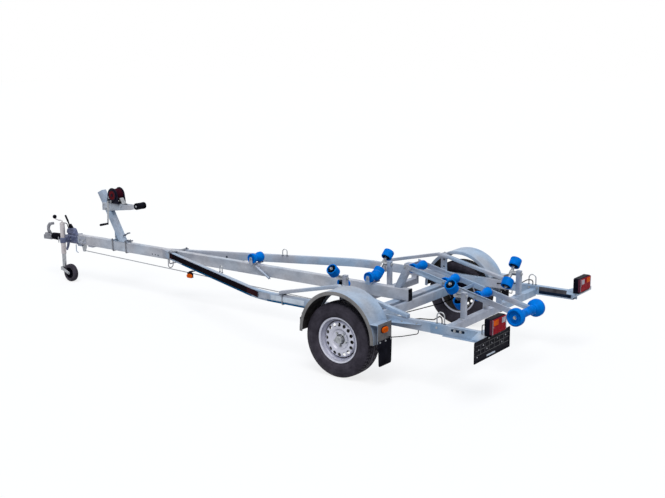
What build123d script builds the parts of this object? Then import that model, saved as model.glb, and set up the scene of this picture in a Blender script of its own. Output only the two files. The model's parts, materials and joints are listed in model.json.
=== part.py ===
from build123d import *
import os

os.makedirs("parts", exist_ok=True)

# A single-axle boat trailer with keel rollers and wobble rollers, standing on its jockey wheel.
# X points forward to the tow ball, Y to the left, Z up. The origin is on the ground under the
# middle of the whole length. Lengths along the trailer are measured from the wheel axle.
# All sizes are in millimetres.

# ---------------------------------------------------------------- overall layout
nose_to_axle = 5146.0        # coupling nose ahead of the wheel axle
axle_to_tail = 1331.0        # tail lamp lenses behind the wheel axle
axle_x = (axle_to_tail - nose_to_axle) / 2
tail_x = axle_x - axle_to_tail
nose_x = axle_x + nose_to_axle
seat_gap = 0.3               # running gap between a turning piece and what carries it

# ---------------------------------------------------------------- wheels and axle
tyre_radius = 315.0
tyre_width = 195.0
tyre_wall = 12.0
wheel_y = 968.0              # middle of each tyre, left and right
rim_flange_radius = 192.0
rim_seat_radius = 178.0
rim_width = 146.0
rim_wall = 4.0
disc_offset = 30.0           # wheel disc outboard of the tyre's middle
vent_ring_radius = 124.0
vent_radius = 9.0
vent_count = 16
hub_bolt_ring = 112.0        # five wheel bolts on this circle
hub_radius = 76.0
drum_radius = 118.0
drum_width = 56.0
stub_radius = 20.0
stub_clearance = 0.05
axle_tube_size = 80.0
axle_tube_ahead = 95.0       # axle tube ahead of the wheel axle
arm_thickness = 26.0

# ---------------------------------------------------------------- frame
beam_width = 60.0
beam_height = 110.0
beam_top = 540.0
beam_wall = 4.0
beam_back = -30.0            # rear end of the central beam
beam_front = 4500.0
beam_bottom = beam_top - beam_height
rail_width = 40.0
rail_height = 80.0
rail_top = 535.0
rail_wall = 4.0
rail_bottom = rail_top - rail_height
rail_y = 800.0               # middle of the parallel stretch of each side rail
rail_bend_ahead = 1050.0
rail_meet_ahead = 3120.0     # where the rails would meet the beam's middle
rail_bend_radius = 900.0
rail_back = -1225.0
cross_height = 80.0
mid_cross_ahead = 425.0
mid_cross_size = 60.0
rear_cross_ahead = -845.0
rear_cross_size = 60.0
rear_cross_top = 505.0
post_size = 40.0
post_behind = 75.0           # wobble posts stand this far behind their roller shafts

# ---------------------------------------------------------------- mudguards
guard_over_tyre = 55.0
guard_radius = tyre_radius + guard_over_tyre
guard_lift = 50.0
guard_centre_z = tyre_radius + guard_lift
guard_centre_ahead = -22.0    # set back from the axle
guard_sheet = 3.0
guard_inner_y = 858.0
guard_outer_y = 1100.0
guard_lip = 20.0
guard_foot = 12.0            # straight skirt below the arc
arch_width = 40.0
arch_height = 30.0
arch_below_crown = 41.0      # middle of the arch tube below the mudguard's crown
arch_apex_z = guard_centre_z + guard_radius - arch_below_crown
arch_apex_ahead = 130.0
arch_front_ahead = 800.0
arch_back_ahead = -530.0

# ---------------------------------------------------------------- rollers
shaft_radius = 8.0
bore_clearance = 0.05
keel_roller_length = 196.0
keel_end_radius = 42.0
keel_waist_radius = 27.0
beam_roller_length = 150.0
beam_roller_radius = 50.0
beam_roller_waist = 32.0
wobble_roller_radius = 50.0
wobble_roller_width = 78.0
wobble_half_spacing = 105.0
stern_roller_half = 215.0
stern_disc_radius = 75.0
stern_disc_width = 84.0
stern_waist_radius = 34.0

# keel cradle: two flat bars sloping down to the stern
cradle_bar_y = 115.0
cradle_bar_thick = 8.0
cradle_bar_height = 50.0
cradle_front_ahead = -40.0
cradle_back_ahead = -1185.0
cradle_slope_at = -1090.0    # at this station the bar's top edge is ...
cradle_slope_z = 545.0       # ... at this height
cradle_slope = 0.238

# ---------------------------------------------------------------- front end
shaft_z = 470.0              # coupling draw shaft height
draw_radius = 25.0
ball_radius = 25.25          # socket for a 50 mm tow ball
ball_behind_nose = 42.0
jockey_ahead = 4655.0
jockey_y = 120.0
jockey_outer_radius = 28.0
jockey_inner_radius = 23.0
jockey_wheel_radius = 102.0
jockey_wheel_width = 58.0
jockey_trail = 110.0
winch_post_width = 60.0
winch_post_depth = 80.0
winch_post_top_ahead = 4070.0
winch_post_lean = 317.0
winch_post_foot_ahead = winch_post_top_ahead - winch_post_lean
winch_post_top_z = 1085.0
bow_arm_z = 925.0
bow_roller_reach = 620.0
bow_roller_ahead = winch_post_top_ahead - bow_roller_reach
bow_roller_radius = 37.0
bow_roller_length = 120.0

rail_slant = rail_y / (rail_meet_ahead - rail_bend_ahead)
rail_half_across = rail_width / 2 * (1 + rail_slant ** 2) ** 0.5
rail_clamp_behind_meet = 230.0
rail_clamp_ahead = rail_meet_ahead - rail_clamp_behind_meet

LEFT, RIGHT = 1, -1


def at(ahead):
    """Row X of a station measured ahead of the wheel axle."""
    return axle_x + ahead


def rail_line_y(ahead):
    """Middle of a side rail on its slanting front stretch."""
    return (rail_meet_ahead - ahead) * rail_slant


def cradle_top(ahead):
    """Height of the cradle bars' top edge at a station."""
    return cradle_slope_z + cradle_slope * (ahead - cradle_slope_at)


def cradle_mid(ahead):
    return cradle_top(ahead) - cradle_bar_height / 2 * (1 + cradle_slope ** 2) ** 0.5


def cross_plane(x, y, z):
    """Plane across a wheel or roller lying along Y: its x runs up, its y runs along world Y."""
    return Plane(origin=(x, y, z), x_dir=(0, 0, 1), z_dir=(-1, 0, 0))


# ================================================================ frame
with BuildPart() as drawbar_beam:
    with BuildSketch(Plane.YZ.offset(at(beam_back))):
        with Locations((0, (beam_top + beam_bottom) / 2)):
            RectangleRounded(beam_width, beam_height, 8)
            RectangleRounded(beam_width - 2 * beam_wall, beam_height - 2 * beam_wall, 5, mode=Mode.SUBTRACT)
    extrude(amount=beam_front - beam_back)
drawbar_beam.part.label = "drawbar_beam"
export_step(drawbar_beam.part, "parts/drawbar_beam.step")

# Each side rail leaves the beam at a shallow angle, bends and runs straight back to the lamps.
with BuildPart() as side_rail_left:
    with BuildLine(Plane.XY.offset((rail_top + rail_bottom) / 2)) as rail_path:
        FilletPolyline(
            (at(rail_back), rail_y),
            (at(rail_bend_ahead), rail_y),
            (at(rail_meet_ahead), 0),
            radius=rail_bend_radius,
        )
    with BuildSketch(Plane(origin=rail_path.line @ 0, x_dir=(0, 0, 1), z_dir=rail_path.line % 0)):
        Rectangle(rail_height, rail_width)
        Rectangle(rail_height - 2 * rail_wall, rail_width - 2 * rail_wall, mode=Mode.SUBTRACT)
    sweep()
    with BuildSketch(Plane.XZ.offset(-beam_width / 2)):
        with Locations((at(rail_meet_ahead), (rail_top + rail_bottom) / 2)):
            Rectangle(600, rail_height * 2)
    extrude(amount=200, mode=Mode.SUBTRACT)
side_rail_left.part.label = "side_rail_left"
export_step(side_rail_left.part, "parts/side_rail_left.step")

with BuildPart() as side_rail_right:
    add(side_rail_left.part.mirror(Plane.XZ))
side_rail_right.part.label = "side_rail_right"
export_step(side_rail_right.part, "parts/side_rail_right.step")

# Three members cross the frame: a channel behind the axle and a square tube ahead of it pass
# under the beam, and a square tube near the stern ends in plates on the rails' inner faces.
rail_inner_y = rail_y - rail_width / 2
rail_outer_y = rail_y + rail_width / 2
channel_depth = 35.0
channel_wall = 5.0
end_plate = 8.0
with BuildPart() as cross_members:
    with BuildSketch(Plane.XZ.offset(-rail_outer_y)):
        with Locations((at(beam_back) - 5 + channel_depth / 2, beam_bottom - cross_height / 2)):
            Rectangle(channel_depth, cross_height)
        with Locations((at(beam_back) - 5 + channel_depth / 2 + channel_wall, beam_bottom - cross_height / 2)):
            Rectangle(channel_depth, cross_height - 2 * channel_wall, mode=Mode.SUBTRACT)
        with Locations((at(mid_cross_ahead), beam_bottom - mid_cross_size / 2)):
            Rectangle(mid_cross_size, mid_cross_size)
            Rectangle(mid_cross_size - 8, mid_cross_size - 8, mode=Mode.SUBTRACT)
    extrude(amount=2 * rail_outer_y)
    # spacer pads carry the rails above the two low members
    for side in (LEFT, RIGHT):
        for pad_x, pad_length in (
            (at(beam_back) - 5 + channel_depth / 2, channel_depth),
            (at(mid_cross_ahead), mid_cross_size),
        ):
            with BuildSketch(Plane.XY.offset(beam_bottom)):
                with Locations((pad_x, side * rail_y)):
                    Rectangle(pad_length, rail_width)
            extrude(amount=rail_bottom - beam_bottom)
    with BuildSketch(Plane.XZ.offset(-(rail_inner_y - end_plate))):
        with Locations((at(rear_cross_ahead), rear_cross_top - rear_cross_size / 2)):
            Rectangle(rear_cross_size, rear_cross_size)
            Rectangle(rear_cross_size - 8, rear_cross_size - 8, mode=Mode.SUBTRACT)
    extrude(amount=2 * (rail_inner_y - end_plate))
    for side in (LEFT, RIGHT):
        with BuildSketch(Plane.XZ.offset(-side * rail_inner_y)):
            with Locations((at(rear_cross_ahead), (rail_top + rail_bottom) / 2)):
                Rectangle(rear_cross_size + 50, rail_height)
        extrude(amount=side * end_plate)
cross_members.part.label = "cross_members"
export_step(cross_members.part, "parts/cross_members.step")

# ================================================================ axle, arms, wheels
axle_tube_x = at(axle_tube_ahead)
axle_tube_z = beam_bottom - axle_tube_size / 2
axle_tube_half = rail_outer_y + 10
arm_inner_y = axle_tube_half
arm_outer_y = arm_inner_y + arm_thickness
with BuildPart() as axle_tube:
    with BuildSketch(Plane.XZ.offset(-axle_tube_half)):
        with Locations((axle_tube_x, axle_tube_z)):
            RectangleRounded(axle_tube_size, axle_tube_size, 8)
            RectangleRounded(axle_tube_size - 10, axle_tube_size - 10, 4, mode=Mode.SUBTRACT)
    extrude(amount=2 * axle_tube_half)
    for side in (LEFT, RIGHT):
        with BuildSketch(Plane.XY.offset(beam_bottom)):
            with Locations((axle_tube_x, side * rail_y)):
                Rectangle(axle_tube_size + 60, rail_width + 10)
        extrude(amount=rail_bottom - beam_bottom)
axle_tube.part.label = "axle_tube"
export_step(axle_tube.part, "parts/axle_tube.step")

# Trailing arms swing from the tube's ends down to the stub axles; each carries a brake plate.
drum_inner_y = wheel_y + disc_offset - drum_width
plate_gap = 4.0
brake_plate = 5.0
stub_length = 46.0
with BuildPart() as swing_arms:
    for side in (LEFT, RIGHT):
        with BuildSketch(Plane.XZ.offset(-side * arm_inner_y)):
            with Locations((axle_tube_x, axle_tube_z)):
                Circle(34)
            with Locations((at(0), tyre_radius)):
                Circle(32)
            make_hull()
        extrude(amount=-side * arm_thickness)
        with BuildSketch(Plane.XZ.offset(-side * arm_outer_y)):
            with Locations((at(0), tyre_radius)):
                Circle(28)
        extrude(amount=-side * (drum_inner_y - plate_gap - brake_plate - arm_outer_y))
        with BuildSketch(Plane.XZ.offset(-side * (drum_inner_y - plate_gap - brake_plate))):
            with Locations((at(0), tyre_radius)):
                Circle(drum_radius - 4)
        extrude(amount=-side * brake_plate)
        with BuildSketch(Plane.XZ.offset(-side * (drum_inner_y - plate_gap))):
            with Locations((at(0), tyre_radius)):
                Circle(stub_radius)
        extrude(amount=-side * (stub_length + plate_gap))
swing_arms.part.label = "swing_arms"
export_step(swing_arms.part, "parts/swing_arms.step")

# Hub and brake drum in one casting, turning on the stub axle.
disc_thick = 5.0
with BuildPart() as wheel_hub_left:
    with BuildSketch(cross_plane(at(0), drum_inner_y, tyre_radius)):
        with Locations((drum_radius / 2, drum_width / 2)):
            Rectangle(drum_radius, drum_width)
        with Locations((drum_radius / 2 - 5, (drum_width - 8) / 2)):
            Rectangle(drum_radius - 10, drum_width - 8, mode=Mode.SUBTRACT)
        with Locations((18, drum_width / 2)):
            Rectangle(36, drum_width)
        with Locations((16, drum_width + 16)):
            Rectangle(32, 32)
        with Locations(((stub_radius + stub_clearance) / 2, (stub_length + 4) / 2)):
            Rectangle(stub_radius + stub_clearance, stub_length + 4, mode=Mode.SUBTRACT)
    revolve(axis=Axis((at(0), 0, tyre_radius), (0, 1, 0)))
wheel_hub_left.part.label = "wheel_hub_left"

# Steel wheel: rolled rim with two flanges, dished disc with round vents, seated on the drum.
disc_back_y = drum_width
with BuildPart() as wheel_rim_left:
    with BuildSketch(cross_plane(at(0), wheel_y, tyre_radius)):
        with Locations((rim_seat_radius - rim_wall / 2, 0)):
            Rectangle(rim_wall, rim_width)
        with Locations(
            ((rim_flange_radius + rim_seat_radius - rim_wall) / 2, rim_width / 2 - rim_wall / 2),
            ((rim_flange_radius + rim_seat_radius - rim_wall) / 2, -rim_width / 2 + rim_wall / 2),
        ):
            Rectangle(rim_flange_radius - rim_seat_radius + rim_wall, rim_wall)
        with BuildLine():
            Polyline(
                (34, disc_offset),
                (hub_radius, disc_offset),
                (vent_ring_radius - 24, disc_offset + 16),
                (vent_ring_radius + 14, disc_offset + 12),
                (rim_seat_radius - rim_wall - 16, disc_offset - 8),
                (rim_seat_radius - rim_wall + 1, disc_offset - 8),
                (rim_seat_radius - rim_wall + 1, disc_offset - 8 + disc_thick),
                (rim_seat_radius - rim_wall - 16, disc_offset - 8 + disc_thick),
                (vent_ring_radius + 14, disc_offset + 12 + disc_thick),
                (vent_ring_radius - 24, disc_offset + 16 + disc_thick),
                (hub_radius, disc_offset + disc_thick),
                (34, disc_offset + disc_thick),
                close=True,
            )
        make_face()
    revolve(axis=Axis((at(0), 0, tyre_radius), (0, 1, 0)))
    with BuildSketch(Plane.XZ.offset(-(wheel_y + disc_offset - 20))):
        with Locations((at(0), tyre_radius)):
            with PolarLocations(vent_ring_radius, vent_count):
                Circle(vent_radius)
    extrude(amount=-60, mode=Mode.SUBTRACT)
    with BuildSketch(Plane.XZ.offset(-(wheel_y + disc_offset + disc_thick))):
        with Locations((at(0), tyre_radius)):
            with PolarLocations(hub_bolt_ring / 2, 5):
                RegularPolygon(11, 6)
    extrude(amount=-12)
wheel_rim_left.part.label = "wheel_rim_left"

# Tyre: one revolved carcass open to the rim, with rounded shoulders and bulged walls.
tread_half = 80.0
with BuildPart() as tyre_left:
    with BuildSketch(cross_plane(at(0), wheel_y, tyre_radius)):
        with BuildLine():
            Polyline(
                (rim_seat_radius, -rim_width / 2 + rim_wall),
                (rim_flange_radius + 4, -rim_width / 2 + rim_wall),
                (rim_flange_radius + 8, -rim_width / 2 - 4),
            )
            ThreePointArc(
                (rim_flange_radius + 8, -rim_width / 2 - 4),
                (tyre_radius - 70, -tyre_width / 2),
                (tyre_radius - 20, -tread_half - 6),
            )
            ThreePointArc(
                (tyre_radius - 20, -tread_half - 6),
                (tyre_radius - 7, -tread_half + 1),
                (tyre_radius - 3, -tread_half + 16),
            )
            ThreePointArc(
                (tyre_radius - 3, -tread_half + 16),
                (tyre_radius, 0),
                (tyre_radius - 3, tread_half - 16),
            )
            ThreePointArc(
                (tyre_radius - 3, tread_half - 16),
                (tyre_radius - 7, tread_half - 1),
                (tyre_radius - 20, tread_half + 6),
            )
            ThreePointArc(
                (tyre_radius - 20, tread_half + 6),
                (tyre_radius - 70, tyre_width / 2),
                (rim_flange_radius + 8, rim_width / 2 + 4),
            )
            Polyline(
                (rim_flange_radius + 8, rim_width / 2 + 4),
                (rim_flange_radius + 4, rim_width / 2 - rim_wall),
                (rim_seat_radius, rim_width / 2 - rim_wall),
                (rim_seat_radius, rim_width / 2 - rim_wall - tyre_wall),
                (rim_flange_radius + 10, rim_width / 2 - rim_wall - tyre_wall),
                (tyre_radius - 70, tyre_width / 2 - tyre_wall),
                (tyre_radius - tyre_wall - 14, tread_half - 8),
                (tyre_radius - tyre_wall, 0),
                (tyre_radius - tyre_wall - 14, -tread_half + 8),
                (tyre_radius - 70, -tyre_width / 2 + tyre_wall),
                (rim_flange_radius + 10, -rim_width / 2 + rim_wall + tyre_wall),
                (rim_seat_radius, -rim_width / 2 + rim_wall + tyre_wall),
                (rim_seat_radius, -rim_width / 2 + rim_wall),
            )
        make_face()
    revolve(axis=Axis((at(0), 0, tyre_radius), (0, 1, 0)))
tyre_left.part.label = "tyre_left"

with BuildPart() as wheel_hub_right:
    add(wheel_hub_left.part.mirror(Plane.XZ))
wheel_hub_right.part.label = "wheel_hub_right"
with BuildPart() as wheel_rim_right:
    add(wheel_rim_left.part.mirror(Plane.XZ))
wheel_rim_right.part.label = "wheel_rim_right"
with BuildPart() as tyre_right:
    add(tyre_left.part.mirror(Plane.XZ))
tyre_right.part.label = "tyre_right"
export_step(wheel_hub_left.part, "parts/wheel_hub_left.step")
export_step(wheel_hub_right.part, "parts/wheel_hub_right.step")
export_step(wheel_rim_left.part, "parts/wheel_rim_left.step")
export_step(wheel_rim_right.part, "parts/wheel_rim_right.step")
export_step(tyre_left.part, "parts/tyre_left.step")
export_step(tyre_right.part, "parts/tyre_right.step")

# ================================================================ mudguards
with BuildPart() as mudguard_left:
    with BuildSketch(Plane.XZ.offset(-guard_inner_y)):
        with Locations((at(guard_centre_ahead), guard_centre_z)):
            Circle(guard_radius)
            Circle(guard_radius - guard_sheet, mode=Mode.SUBTRACT)
        with Locations((at(guard_centre_ahead), guard_centre_z - guard_radius / 2)):
            Rectangle(2 * guard_radius + 2, guard_radius, mode=Mode.SUBTRACT)
        with Locations(
            (at(guard_centre_ahead + guard_radius - guard_sheet / 2), guard_centre_z - guard_foot / 2),
            (at(guard_centre_ahead - guard_radius + guard_sheet / 2), guard_centre_z - guard_foot / 2),
        ):
            Rectangle(guard_sheet, guard_foot)
    extrude(amount=-(guard_outer_y - guard_inner_y))
    # rolled lips along both edges
    for lip_y in (guard_inner_y, guard_outer_y - guard_sheet):
        with BuildSketch(Plane.XZ.offset(-lip_y)):
            with Locations((at(guard_centre_ahead), guard_centre_z)):
                Circle(guard_radius)
                Circle(guard_radius - guard_lip, mode=Mode.SUBTRACT)
            with Locations((at(guard_centre_ahead), guard_centre_z - guard_radius / 2)):
                Rectangle(2 * guard_radius + 2, guard_radius, mode=Mode.SUBTRACT)
            with Locations(
                (at(guard_centre_ahead + guard_radius - guard_lip / 2), guard_centre_z - guard_foot / 2),
                (at(guard_centre_ahead - guard_radius + guard_lip / 2), guard_centre_z - guard_foot / 2),
            ):
                Rectangle(guard_lip, guard_foot)
        extrude(amount=-guard_sheet)
mudguard_left.part.label = "mudguard_left"
with BuildPart() as mudguard_right:
    add(mudguard_left.part.mirror(Plane.XZ))
mudguard_right.part.label = "mudguard_right"
export_step(mudguard_left.part, "parts/mudguard_left.step")
export_step(mudguard_right.part, "parts/mudguard_right.step")

# Bent tubes rise from the rails over each wheel's inner side and carry the mudguards.
arch_y = rail_outer_y + 2 - arch_width / 2
arch_stations = [
    # ahead of axle, height of the tube's middle
    (arch_front_ahead, rail_top + arch_height / 2),
    (arch_apex_ahead + 40, arch_apex_z),
    (arch_apex_ahead - 60, arch_apex_z - 8),
    (arch_back_ahead, rail_top + arch_height / 2),
]
arch_tab = 16.0
arch_post_width = 70.0
arch_post_hole = 9.0
with BuildPart() as arch_bars:
    for side in (LEFT, RIGHT):
        with BuildSketch(Plane.XZ.offset(-side * arch_y)):
            with BuildLine():
                upper = [(at(ahead), z + arch_height / 2) for ahead, z in arch_stations]
                lower = [(at(ahead), z - arch_height / 2) for ahead, z in reversed(arch_stations)]
                Polyline(*upper, *lower, close=True)
            make_face()
        extrude(amount=arch_width / 2, both=True)
        # post under the apex and the tongue that the mudguard is bolted to
        with BuildSketch(Plane.XY.offset(rail_top)):
            with Locations((at(arch_apex_ahead - 20), side * (rail_outer_y - 4))):
                Rectangle(arch_post_width, 6)
        extrude(amount=arch_apex_z - rail_top)
        with BuildSketch(Plane.XZ.offset(-side * (rail_outer_y - 20))):
            with Locations(
                (at(arch_apex_ahead - 20), rail_top + 45),
                (at(arch_apex_ahead - 20), arch_apex_z - 45),
            ):
                Circle(arch_post_hole)
        extrude(amount=-side * 30, mode=Mode.SUBTRACT)
        with BuildSketch(Plane.XY.offset(arch_apex_z)):
            with Locations((at(arch_apex_ahead - 20), side * (arch_y + guard_inner_y) / 2)):
                Rectangle(50, guard_inner_y - arch_y)
        extrude(amount=arch_tab)
arch_bars.part.label = "arch_bars"
export_step(arch_bars.part, "parts/arch_bars.step")

# Behind each wheel a bent plate on the mudguard's foot holds a side reflector and a rubber flap;
# a flat gusset ties the foot to the rail.
flap_plate_ahead = guard_centre_ahead - guard_radius - 46
flap_plate_bottom = 372.0
flap_plate_top = 530.0
flap_width = 190.0
flap_bottom = 184.0
gusset_length = 224.0
gusset_back_ahead = flap_plate_ahead - gusset_length
stay_length = 24.0
stay_height = 44.0
stay_ahead = guard_centre_ahead + guard_radius - guard_lip - 12
flap_y = 1005.0
flap_thick = 5.0
gusset_z = 505.0
gusset_front = (guard_radius ** 2 - (gusset_z - guard_centre_z) ** 2) ** 0.5 - guard_centre_ahead
flange_front = (guard_radius ** 2 - (flap_plate_top - 12 - guard_centre_z) ** 2) ** 0.5 - guard_centre_ahead
with BuildPart() as mudflap_brackets:
    for side in (LEFT, RIGHT):
        with BuildSketch(Plane.YZ.offset(at(flap_plate_ahead))):
            with Locations((side * flap_y, (flap_plate_bottom + flap_plate_top) / 2)):
                Rectangle(flap_width, flap_plate_top - flap_plate_bottom)
        extrude(amount=4)
        with BuildSketch(Plane.XY.offset(flap_plate_top - 12)):
            with Locations((at((flap_plate_ahead - flange_front) / 2), side * flap_y)):
                Rectangle(-flange_front - flap_plate_ahead, flap_width)
        extrude(amount=4)
        with BuildSketch(Plane.XY.offset(gusset_z)):
            with BuildLine():
                Polyline(
                    (at(-gusset_front), side * (guard_inner_y + 46)),
                    (at(flap_plate_ahead), side * (guard_inner_y + 46)),
                    (at(gusset_back_ahead), side * (rail_outer_y + 12)),
                    (at(gusset_back_ahead), side * rail_outer_y),
                    (at(-gusset_front), side * rail_outer_y),
                    close=True,
                )
            make_face()
        extrude(amount=4)
        # stay between the rail and the mudguard's front foot
        with BuildSketch(Plane.XY.offset(rail_bottom)):
            with Locations((at(stay_ahead), side * (rail_outer_y + guard_inner_y) / 2)):
                Rectangle(stay_length, guard_inner_y - rail_outer_y)
        extrude(amount=stay_height)
mudflap_brackets.part.label = "mudflap_brackets"
export_step(mudflap_brackets.part, "parts/mudflap_brackets.step")

with BuildPart() as mudflaps:
    for side in (LEFT, RIGHT):
        with BuildSketch(Plane.YZ.offset(at(flap_plate_ahead) - flap_thick)):
            with BuildLine():
                Polyline(
                    (side * (flap_y - flap_width / 2), flap_plate_bottom + 20),
                    (side * (flap_y + flap_width / 2), flap_plate_bottom + 20),
                    (side * (flap_y + flap_width / 2 - 8), flap_bottom),
                    (side * (flap_y - flap_width / 2 + 8), flap_bottom),
                    close=True,
                )
            make_face()
        extrude(amount=flap_thick)
    fillet(mudflaps.edges().filter_by(Axis.X).group_by(Axis.Z)[0], 18)
mudflaps.part.label = "mudflaps"
export_step(mudflaps.part, "parts/mudflaps.step")

# ================================================================ lamps and plates
marker_ahead = 2330.0
marker_z = 412.0
marker_outboard = 63.0
marker_y = rail_line_y(marker_ahead) + marker_outboard
marker_length = 74.0
marker_height = 40.0
marker_depth = 22.0
reflector_width = 80.0
reflector_height = 46.0
reflector_depth = 18.0
with BuildPart() as side_reflectors:
    for side in (LEFT, RIGHT):
        with BuildSketch(Plane.YZ.offset(at(flap_plate_ahead) - reflector_depth)):
            with Locations((side * (flap_y + 10), flap_plate_top - 54)):
                RectangleRounded(reflector_width, reflector_height, reflector_depth)
        extrude(amount=reflector_depth)
        # front side marker hanging from the rail
        with BuildSketch(Plane.XZ.offset(-side * (marker_y + 12))):
            with Locations((at(marker_ahead), marker_z)):
                RectangleRounded(marker_length, marker_height, 12)
        extrude(amount=-side * marker_depth)
side_reflectors.part.label = "side_reflectors"
export_step(side_reflectors.part, "parts/side_reflectors.step")

with BuildPart() as marker_brackets:
    for side in (LEFT, RIGHT):
        with BuildSketch(Plane.XZ.offset(-side * (marker_y + 8))):
            with Locations((at(marker_ahead), (marker_z - 18 + rail_bottom) / 2)):
                Rectangle(46, rail_bottom - marker_z + 18)
        extrude(amount=-side * 4)
        with BuildSketch(Plane.XY.offset(rail_bottom - 4)):
            with Locations((at(marker_ahead), side * (marker_y - 14))):
                Rectangle(46, 50)
        extrude(amount=4)
marker_brackets.part.label = "marker_brackets"
export_step(marker_brackets.part, "parts/marker_brackets.step")

carrier_front_ahead = -745.0
carrier_thick = 4.0
carrier_slot_drop = 15.0
carrier_slot_aheads = (180.0, 245.0)
carrier_lip = 32.0
carrier_lip_short = 120.0
shelf_front_ahead = -1170.0
shelf_back_ahead = -1282.0
shelf_inner_y = 640.0
shelf_outer_y = 1040.0
with BuildPart() as lamp_carriers:
    for side in (LEFT, RIGHT):
        # plate along the rail's outer face with a lower lip
        with BuildSketch(Plane.XZ.offset(-side * rail_outer_y)):
            with Locations((at((carrier_front_ahead + rail_back) / 2), (rail_top + rail_bottom) / 2)):
                Rectangle(carrier_front_ahead - rail_back, rail_height)
            with Locations(*[(at(rail_back + ahead), rail_top - carrier_slot_drop) for ahead in carrier_slot_aheads]):
                SlotOverall(46, 22, mode=Mode.SUBTRACT)
        extrude(amount=-side * carrier_thick)
        with BuildSketch(Plane.XY.offset(rail_bottom)):
            with Locations((at((carrier_front_ahead + rail_back) / 2 - carrier_lip_short / 2), side * (rail_outer_y + carrier_lip / 2))):
                Rectangle(carrier_front_ahead - rail_back - carrier_lip_short, carrier_lip)
        extrude(amount=carrier_thick)
        # shelf across the rail's end that the tail lamp stands on
        with BuildSketch(Plane.XY.offset(rail_top)):
            with BuildLine():
                Polyline(
                    (at(shelf_front_ahead), side * (rail_y - 30)),
                    (at(shelf_front_ahead), side * (rail_outer_y + carrier_thick)),
                    (at(shelf_back_ahead + 60), side * shelf_outer_y),
                    (at(shelf_back_ahead), side * shelf_outer_y),
                    (at(shelf_back_ahead), side * shelf_inner_y),
                    (at(shelf_back_ahead + 60), side * shelf_inner_y),
                    close=True,
                )
            make_face()
        extrude(amount=carrier_thick)
        with BuildSketch(Plane.YZ.offset(at(shelf_back_ahead))):
            with Locations((side * (shelf_inner_y + shelf_outer_y) / 2, rail_top - 12)):
                Rectangle(shelf_outer_y - shelf_inner_y, 32)
        extrude(amount=carrier_thick)
        with BuildSketch(Plane.XY.offset(rail_bottom)):
            with Locations((at((rail_back + shelf_front_ahead) / 2 - 10), side * (rail_outer_y + carrier_thick / 2))):
                Rectangle(shelf_front_ahead - rail_back + 20, carrier_thick)
        extrude(amount=rail_height)
lamp_carriers.part.label = "lamp_carriers"
export_step(lamp_carriers.part, "parts/lamp_carriers.step")

lamp_y = 798.0
lamp_width = 226.0
lamp_height = 134.0
lens_rim = 5.0
lens_raise = 5.0
lamp_depth = 58.0
lens_depth = 12.0
lamp_bottom = rail_top + carrier_thick
lamp_back = tail_x + lens_depth
lamp_front_ahead = lamp_back + lamp_depth - axle_x
with BuildPart() as tail_lamps:
    for side in (LEFT, RIGHT):
        with BuildSketch(Plane.YZ.offset(lamp_back)):
            with Locations((side * lamp_y, lamp_bottom + lamp_height / 2)):
                RectangleRounded(lamp_width, lamp_height, 12)
        extrude(amount=lamp_depth)
tail_lamps.part.label = "tail_lamps"
export_step(tail_lamps.part, "parts/tail_lamps.step")
with BuildPart() as tail_lamp_lenses:
    for side in (LEFT, RIGHT):
        with BuildSketch(Plane.YZ.offset(tail_x)):
            with Locations((side * lamp_y, lamp_bottom + lamp_height / 2 + lens_raise)):
                RectangleRounded(lamp_width - 2 * lens_rim, lamp_height - 2 * (lens_rim + lens_raise), 10)
        extrude(amount=lens_depth)
tail_lamp_lenses.part.label = "tail_lamp_lenses"
export_step(tail_lamp_lenses.part, "parts/tail_lamp_lenses.step")

# Number plate board below the left lamp, bolted to the shelf's turned-down edge.
board_width = 560.0
board_y = guard_outer_y - board_width / 2
board_top = 536.0
board_height = 164.0
board_thick = 6.0
with BuildPart() as number_plate_board:
    with BuildSketch(Plane.YZ.offset(at(shelf_back_ahead) - board_thick)):
        with Locations((board_y, board_top - board_height / 2)):
            RectangleRounded(board_width, board_height, 10)
    extrude(amount=board_thick)
number_plate_board.part.label = "number_plate_board"
export_step(number_plate_board.part, "parts/number_plate_board.step")

# ================================================================ tie-down eyes and clamps
eye_rod = 5.0
rear_eye_ahead = -823.0
rear_eye_height = 93.0
rear_eye_half = 34.0
front_eye_ahead = 1812.0
front_eye_height = 66.0
front_eye_half = 24.0
front_eye_outboard = -27.0
with BuildPart() as tie_down_eyes:
    for side in (LEFT, RIGHT):
        for ahead, across, height, half, turn in (
            (rear_eye_ahead, rail_y, rear_eye_height, rear_eye_half, 0.0),
            (
                front_eye_ahead,
                rail_line_y(front_eye_ahead) + front_eye_outboard,
                front_eye_height,
                front_eye_half,
                20.2,
            ),
        ):
            spot = Plane(
                origin=(at(ahead), side * across, rail_top),
                x_dir=Vector(1, 0, 0).rotate(Axis.Z, -side * turn),
                z_dir=Vector(0, -1, 0).rotate(Axis.Z, -side * turn),
            )
            with BuildLine(spot) as eye_path:
                Line((-half, 0), (-half, height - half))
                ThreePointArc((-half, height - half), (0, height), (half, height - half))
                Line((half, height - half), (half, 0))
            with BuildSketch(Plane(origin=eye_path.line @ 0, z_dir=eye_path.line % 0)):
                Circle(eye_rod)
            sweep(path=eye_path.line)
tie_down_eyes.part.label = "tie_down_eyes"
export_step(tie_down_eyes.part, "parts/tie_down_eyes.step")

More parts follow.
